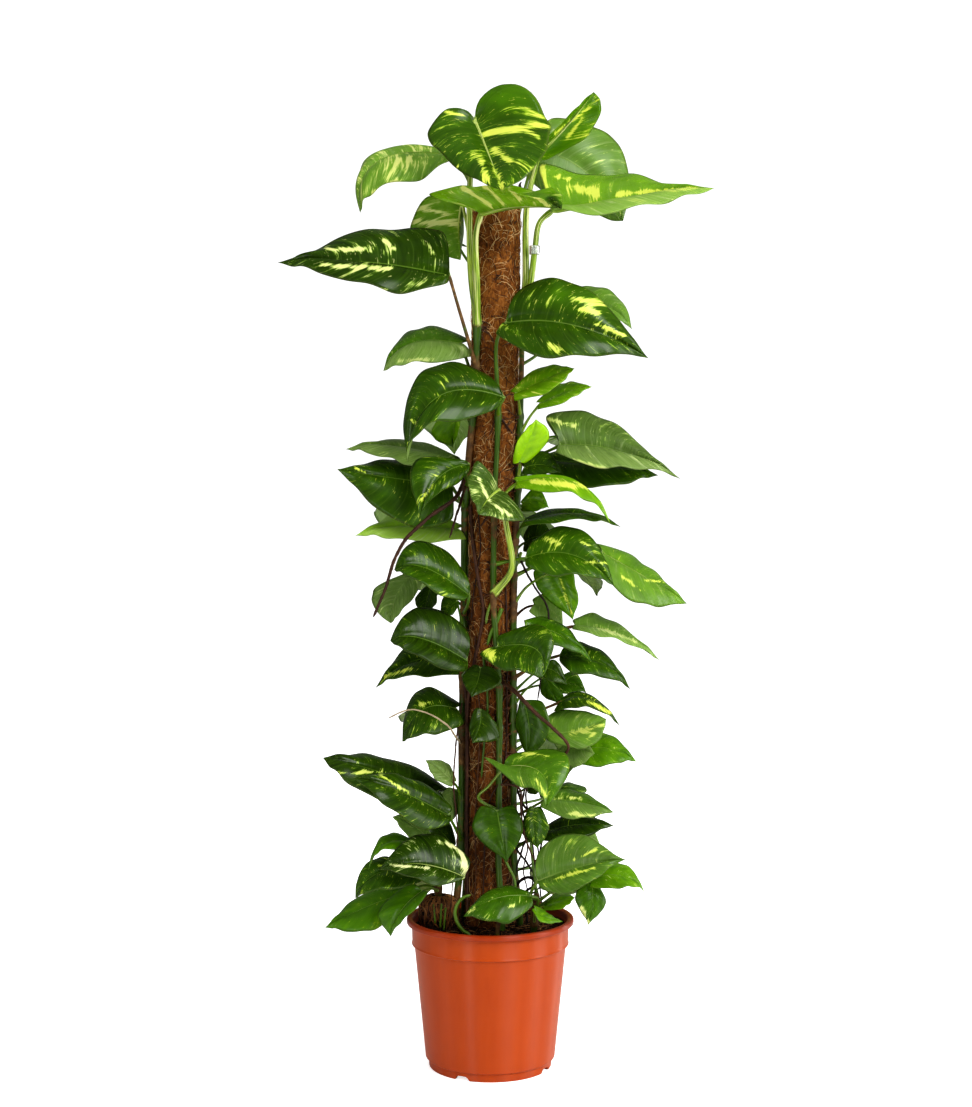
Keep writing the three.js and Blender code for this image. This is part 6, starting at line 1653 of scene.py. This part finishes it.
def build_crumbs():
    crumbs = Piece()
    for _ in range(CRUMBS):
        r, a = CRUMBS_WITHIN * np.sqrt(rng.uniform(0, 1)), rng.uniform(0, 2 * np.pi)
        x, y = r * np.cos(a), r * np.sin(a)
        if np.hypot(x - pole_x(SOIL_TOP), y) < POLE_RADIUS + 2:
            continue
        size = rng.uniform(0.8, 2.6) * (1.6 if rng.uniform() < 0.08 else 1)
        crumb(crumbs, np.array([x, y, soil_height(x, y) + 0.25 * size]), size)
    for _ in range(PLUG_CRUMBS):
        a, z = rng.uniform(0, 2 * np.pi), rng.uniform(SOIL_TOP + 3, PLUG_TOP - 3)
        crumb(crumbs, round_plug(PLUG_RADIUS - 2, a, z), rng.uniform(0.8, 2.2))
    crumbs.make("soil_crumbs", "peat", ["soil"], soil_material())


def build_threads():
    """Fine roots and fibres on the soil, and roots that run down and loop over the plug."""
    threads = Piece("shade")
    for _ in range(THREADS):
        r, a = THREADS_WITHIN * np.sqrt(rng.uniform(0.02, 1)), rng.uniform(0, 2 * np.pi)
        length, turn = rng.uniform(8, 34), rng.uniform(0, 2 * np.pi)
        t = np.linspace(0, 1, 6)
        dx, dy = steps_along(turn + rng.normal(0, 0.8) * t, length)
        x, y = r * np.cos(a) + dx, r * np.sin(a) + dy
        inside = np.minimum(1, THREADS_END / np.maximum(np.hypot(x, y), 1))
        x, y = x * inside, y * inside
        z = soil_height(x, y) + rng.uniform(0.4, 2.6) * np.sin(np.pi * t) - 0.2
        tube(threads, np.stack([x, y, z], 1), rng.uniform(0.2, 0.5), 4,
             shade=rng.uniform(0.1, 0.85))
    for _ in range(PLUG_ROOTS):
        t = np.linspace(0, 1, 11)
        a = rng.uniform(0, 2 * np.pi) + rng.normal(0, 0.25) * t + rng.normal(0, 0.2) * np.sin(6 * t)
        rise = rng.uniform(14, 46)
        z = rng.uniform(200, PLUG_TOP - 14) + rise * np.sin(t * rng.uniform(1.4, 3.0))
        over = np.clip((z - PLUG_TOP + 5) / 9, 0, 1)
        z = np.clip(z, 201, PLUG_TOP + 1.5)
        r = (PLUG_RADIUS - 0.6 + rng.uniform(0.2, 3.2) * np.sin(np.pi * t)) * (1 - 0.6 * over)
        tube(threads, round_plug(r, a, z), rng.uniform(0.3, 1.0), 5, shade=rng.uniform(0.1, 0.75))
    threads.make("soil_threads", "peat", ["soil"], fibre_material())


def build_leafy_stem(name, roots, leaf_skin, stalk_skin):
    """One stem or shoot with its stalks and leaves; its clinging roots go to `roots`."""
    node = ("stem_" if name in CLIMBERS else "shoot_") + name
    radius, path = stem_path(name)
    blades, stalks = Piece(*LEAF_VALUES), Piece(*STALK_VALUES)
    rows = [row for row in LEAVES if row[1] == name]
    joints = [row[2] for row in rows]
    add_stem(stalks, name, path, radius, joints)
    for row in rows:
        add_stalk(stalks, row, add_leaf(blades, row), path)
    if name == "plug":
        for start, end in SPROUTS:
            tube(stalks, smooth([start, end], 4.0), 1.3, 8, brown=0.1, tint=0.5, ring=0.0)
    blades.make("leaves_" + name, "foliage", [node], leaf_skin)
    stalks.make("stalks_" + name, "foliage", [node], stalk_skin)
    if name in CLIMBERS:
        clinging_roots(roots, path, joints)


def build_roots(roots, root_skin):
    """The roots that the photo shows, added to the clinging ones."""
    for thick, shade, points in ROOTS:
        path = kinked([place(p) for p in points], 0.5)
        add_root(roots, path, thick, thick * 0.6, 0.25, shade)
    thick, stations = POLE_ROOT
    add_root(roots, climb(thick, stations)[::-1], thick, thick * 0.6, 0.2)
    for thick, shade, stations in VINES_ON_POLE:
        path = climb(thick, stations)[::-1]
        add_root(roots, kinked(path[::3], 0.4), thick, thick * 0.7, 0.12, shade)
    for thick, shade, points in VINES_HANGING:
        path = kinked([place(p) for p in points], 0.7)
        add_root(roots, path, thick, thick * 0.6, 0.1, shade)
    roots.make("aerial_roots", "foliage", ["stem_left", "stem_front"], root_skin)


def tapered(radius, end, count, tip=0.4):
    """Radii along a bare stalk, with its cut end rounded."""
    r = radius * np.linspace(1, end, count)
    r[-2:] *= [0.8, tip]
    return r


def build_plant():
    leaf_skin, stalk_skin, root_skin = leaf_material(), stalk_material(), root_material()
    roots = Piece("shade")
    for name in list(CLIMBERS) + list(SHOOTS):
        build_leafy_stem(name, roots, leaf_skin, stalk_skin)
    build_roots(roots, root_skin)
    bare = Piece(*STALK_VALUES)
    for thick, tint, stations in STALKS_ON_POLE:
        path = smooth(climb(thick, stations)[::-4], PATH_STEP)
        tube(bare, path, tapered(thick, 0.8, len(path)), STALK_SIDES, ridges(5, 0.05),
             brown=0.15, tint=tint, ring=0.0)
    bare.make("bare_stalks", "foliage", ["stem_front"], stalk_skin)
    loop = Piece(*STALK_VALUES)
    radius, points = LOOP
    path = smooth(points, 2.0)
    tube(loop, path, tapered(radius, 0.7, len(path), 0.45), 12, ridges(3, 0.04),
         brown=np.linspace(0.3, 0, len(path)), tint=0.45, ring=0.0)
    loop.make("bent_stalk", "green_stalk", ["loop_stalk"], stalk_skin)


def clinging_roots(piece, path, joints):
    """Short roots that leave a stem's joints and run off over the coir."""
    for joint in joints:
        if joint < LOWEST_CLINGING:
            continue
        x, y, _ = point_at(path, joint)
        start = math.atan2(y, x - pole_x(joint))
        off = np.hypot(y, x - pole_x(joint)) - POLE_RADIUS
        for _ in range(rng.integers(CLINGING_LEAST, CLINGING_MOST + 1)):
            side = rng.choice([-1, 1])
            t = np.linspace(0, 1, 9)
            reach, drop = rng.uniform(0.25, 0.9), rng.uniform(-34, 12)
            azimuth = start + side * reach * t ** 0.8
            z = joint + drop * t + 1.5 * np.sin(7 * t + rng.uniform(0, 6))
            thick = rng.uniform(0.7, 1.5)
            distance = POLE_RADIUS + 0.2 + thick * 0.5 + off * bell(t, 0.28) - 1.6 * t ** 3
            add_root(piece, around_pole(z, azimuth, distance), thick, thick * 0.5, 0.15)


def build_clip():
    """A split ring round a leaf stalk."""
    section = [(CLIP_INNER, 0), (CLIP_OUTER, 0), (CLIP_OUTER, CLIP_HEIGHT),
               (CLIP_INNER, CLIP_HEIGHT)]
    angles = np.linspace(CLIP_GAP / 2, 2 * np.pi - CLIP_GAP / 2, CLIP_POINTS)
    points = place(CLIP_AT) + np.array([(r * np.cos(a), r * np.sin(a), z)
                                        for a in angles for r, z in section])
    quads, _, _ = ring_quads(CLIP_POINTS, 4)
    last = len(points) - 4
    quads = np.vstack([quads, [[3, 2, 1, 0], [last, last + 1, last + 2, last + 3]]])
    piece = Piece()
    piece.add(points, [quads], [points[quads][..., :2]])
    ring = piece.make("stalk_clip", "clear_plastic", ["plant_clip"], clip_material())
    edge = ring.modifiers.new("edge", "BEVEL")
    edge.width, edge.segments, edge.limit_method = CLIP_EDGE, 2, "ANGLE"


def build_stage():
    """Pale floor and white backdrop."""
    mesh = bpy.data.meshes.new("floor")
    mesh.from_pydata([(x * FLOOR_REACH, y * FLOOR_REACH, 0)
                      for x, y in ((-1, -1), (1, -1), (1, 1), (-1, 1))], [], [(0, 1, 2, 3)])
    floor = in_scene("floor", mesh)
    m = Nodes("pale_floor", 0.9, Specular_IOR_Level=0.1)
    # The camera sees the floor glow a little, more so far away, so that it meets the backdrop
    far = m.node("VectorMath", "Value", {"operation": "LENGTH"}, i0=m.place())
    glow = m.node("MapRange", 0, {}, Value=far, From_Min=GLOW_FROM, From_Max=GLOW_TO,
                  To_Min=FLOOR_GLOW[0], To_Max=FLOOR_GLOW[1])
    m.link(m.node("LightPath", "Is Camera Ray") * glow, m.shader.inputs["Emission Strength"])
    m.shader.inputs["Emission Color"].default_value = (1, 1, 1, 1)
    haze = m.noise(m.place(), 1.5, 2.0)
    mesh.materials.append(m.finish(haze.ramp((0.3, (0.88, 0.88, 0.88)), (0.7, (0.9, 0.9, 0.9)))))

    # A backdrop that is white to the camera and lights the plant only a little
    world = bpy.data.worlds.new("studio")
    bpy.context.scene.world = world
    world.use_nodes = True
    nodes, links = world.node_tree.nodes, world.node_tree.links
    lit, shown = nodes["Background"], nodes.new("ShaderNodeBackground")
    for background, strength in ((lit, WORLD_LIGHT), (shown, 1.0)):
        background.inputs["Color"].default_value = (1, 1, 1, 1)
        background.inputs["Strength"].default_value = strength
    which, blend = nodes.new("ShaderNodeLightPath"), nodes.new("ShaderNodeMixShader")
    for start, end in ((which.outputs["Is Camera Ray"], blend.inputs[0]),
                       (lit.outputs[0], blend.inputs[1]), (shown.outputs[0], blend.inputs[2]),
                       (blend.outputs[0], nodes["World Output"].inputs["Surface"])):
        links.new(start, end)


def soft_light(name, at, aim, width, height, power, mirrored=True):
    """Area light. mirrored: whether glossy surfaces show it."""
    data = bpy.data.lights.new(name, "AREA")
    data.shape, data.size, data.size_y = "RECTANGLE", width, height
    data.energy = power
    obj = in_scene(name, data)
    obj.location = at
    heading = Vector(aim) - Vector(at)
    obj.rotation_euler = heading.to_track_quat("-Z", "Y").to_euler()
    obj.visible_glossy = mirrored


def build_lights():
    soft_light("key", (1.5, -2.3, 2.2), (0, 0, 0.75), 1.2, 1.6, 58)
    soft_light("right", (2.3, -0.5, 1.3), (0, 0, 0.7), 0.8, 2.2, 31)
    soft_light("left", (-2.3, -0.7, 1.3), (0, 0, 0.7), 0.5, 2.2, 5)
    # Two weak upright strips, for the bright bands on the glossy pot
    soft_light("strip_left", (-1.2, -2.0, 0.55), (0, 0, 0.15), 0.4, 1.1, 8)
    soft_light("strip_right", (2.0, 1.25, 0.55), (0, 0, 0.15), 0.3, 1.1, 6)
    # These two would lay a grey film on the dark leaves if the leaves mirrored them
    soft_light("top", (-0.3, -0.7, 3.2), (0, 0, 0.8), 2.4, 2.4, 26, mirrored=False)
    soft_light("back", (0.4, 2.4, 1.8), (0, 0, 0.8), 2.0, 1.6, 26, mirrored=False)


def build_camera():
    """The camera from which the photo was taken, as far as the photo tells."""
    data = bpy.data.cameras.new("camera")
    camera = in_scene("camera", data)
    data.sensor_width = SENSOR
    data.lens = SENSOR * FOCAL_PX / FRAME_PX
    data.clip_end = FAR_CLIP
    camera.location = tuple(EYE * MM)
    camera.rotation_euler = (math.radians(90 - PITCH), 0, 0)
    bpy.context.scene.camera = camera


build_pot()
build_pole()
build_bed()
build_crumbs()
build_threads()
build_plant()
build_clip()
build_stage()
build_lights()
build_camera()
bpy.context.scene.view_settings.view_transform = "Standard"
bpy.context.scene.view_settings.look = "Medium High Contrast"
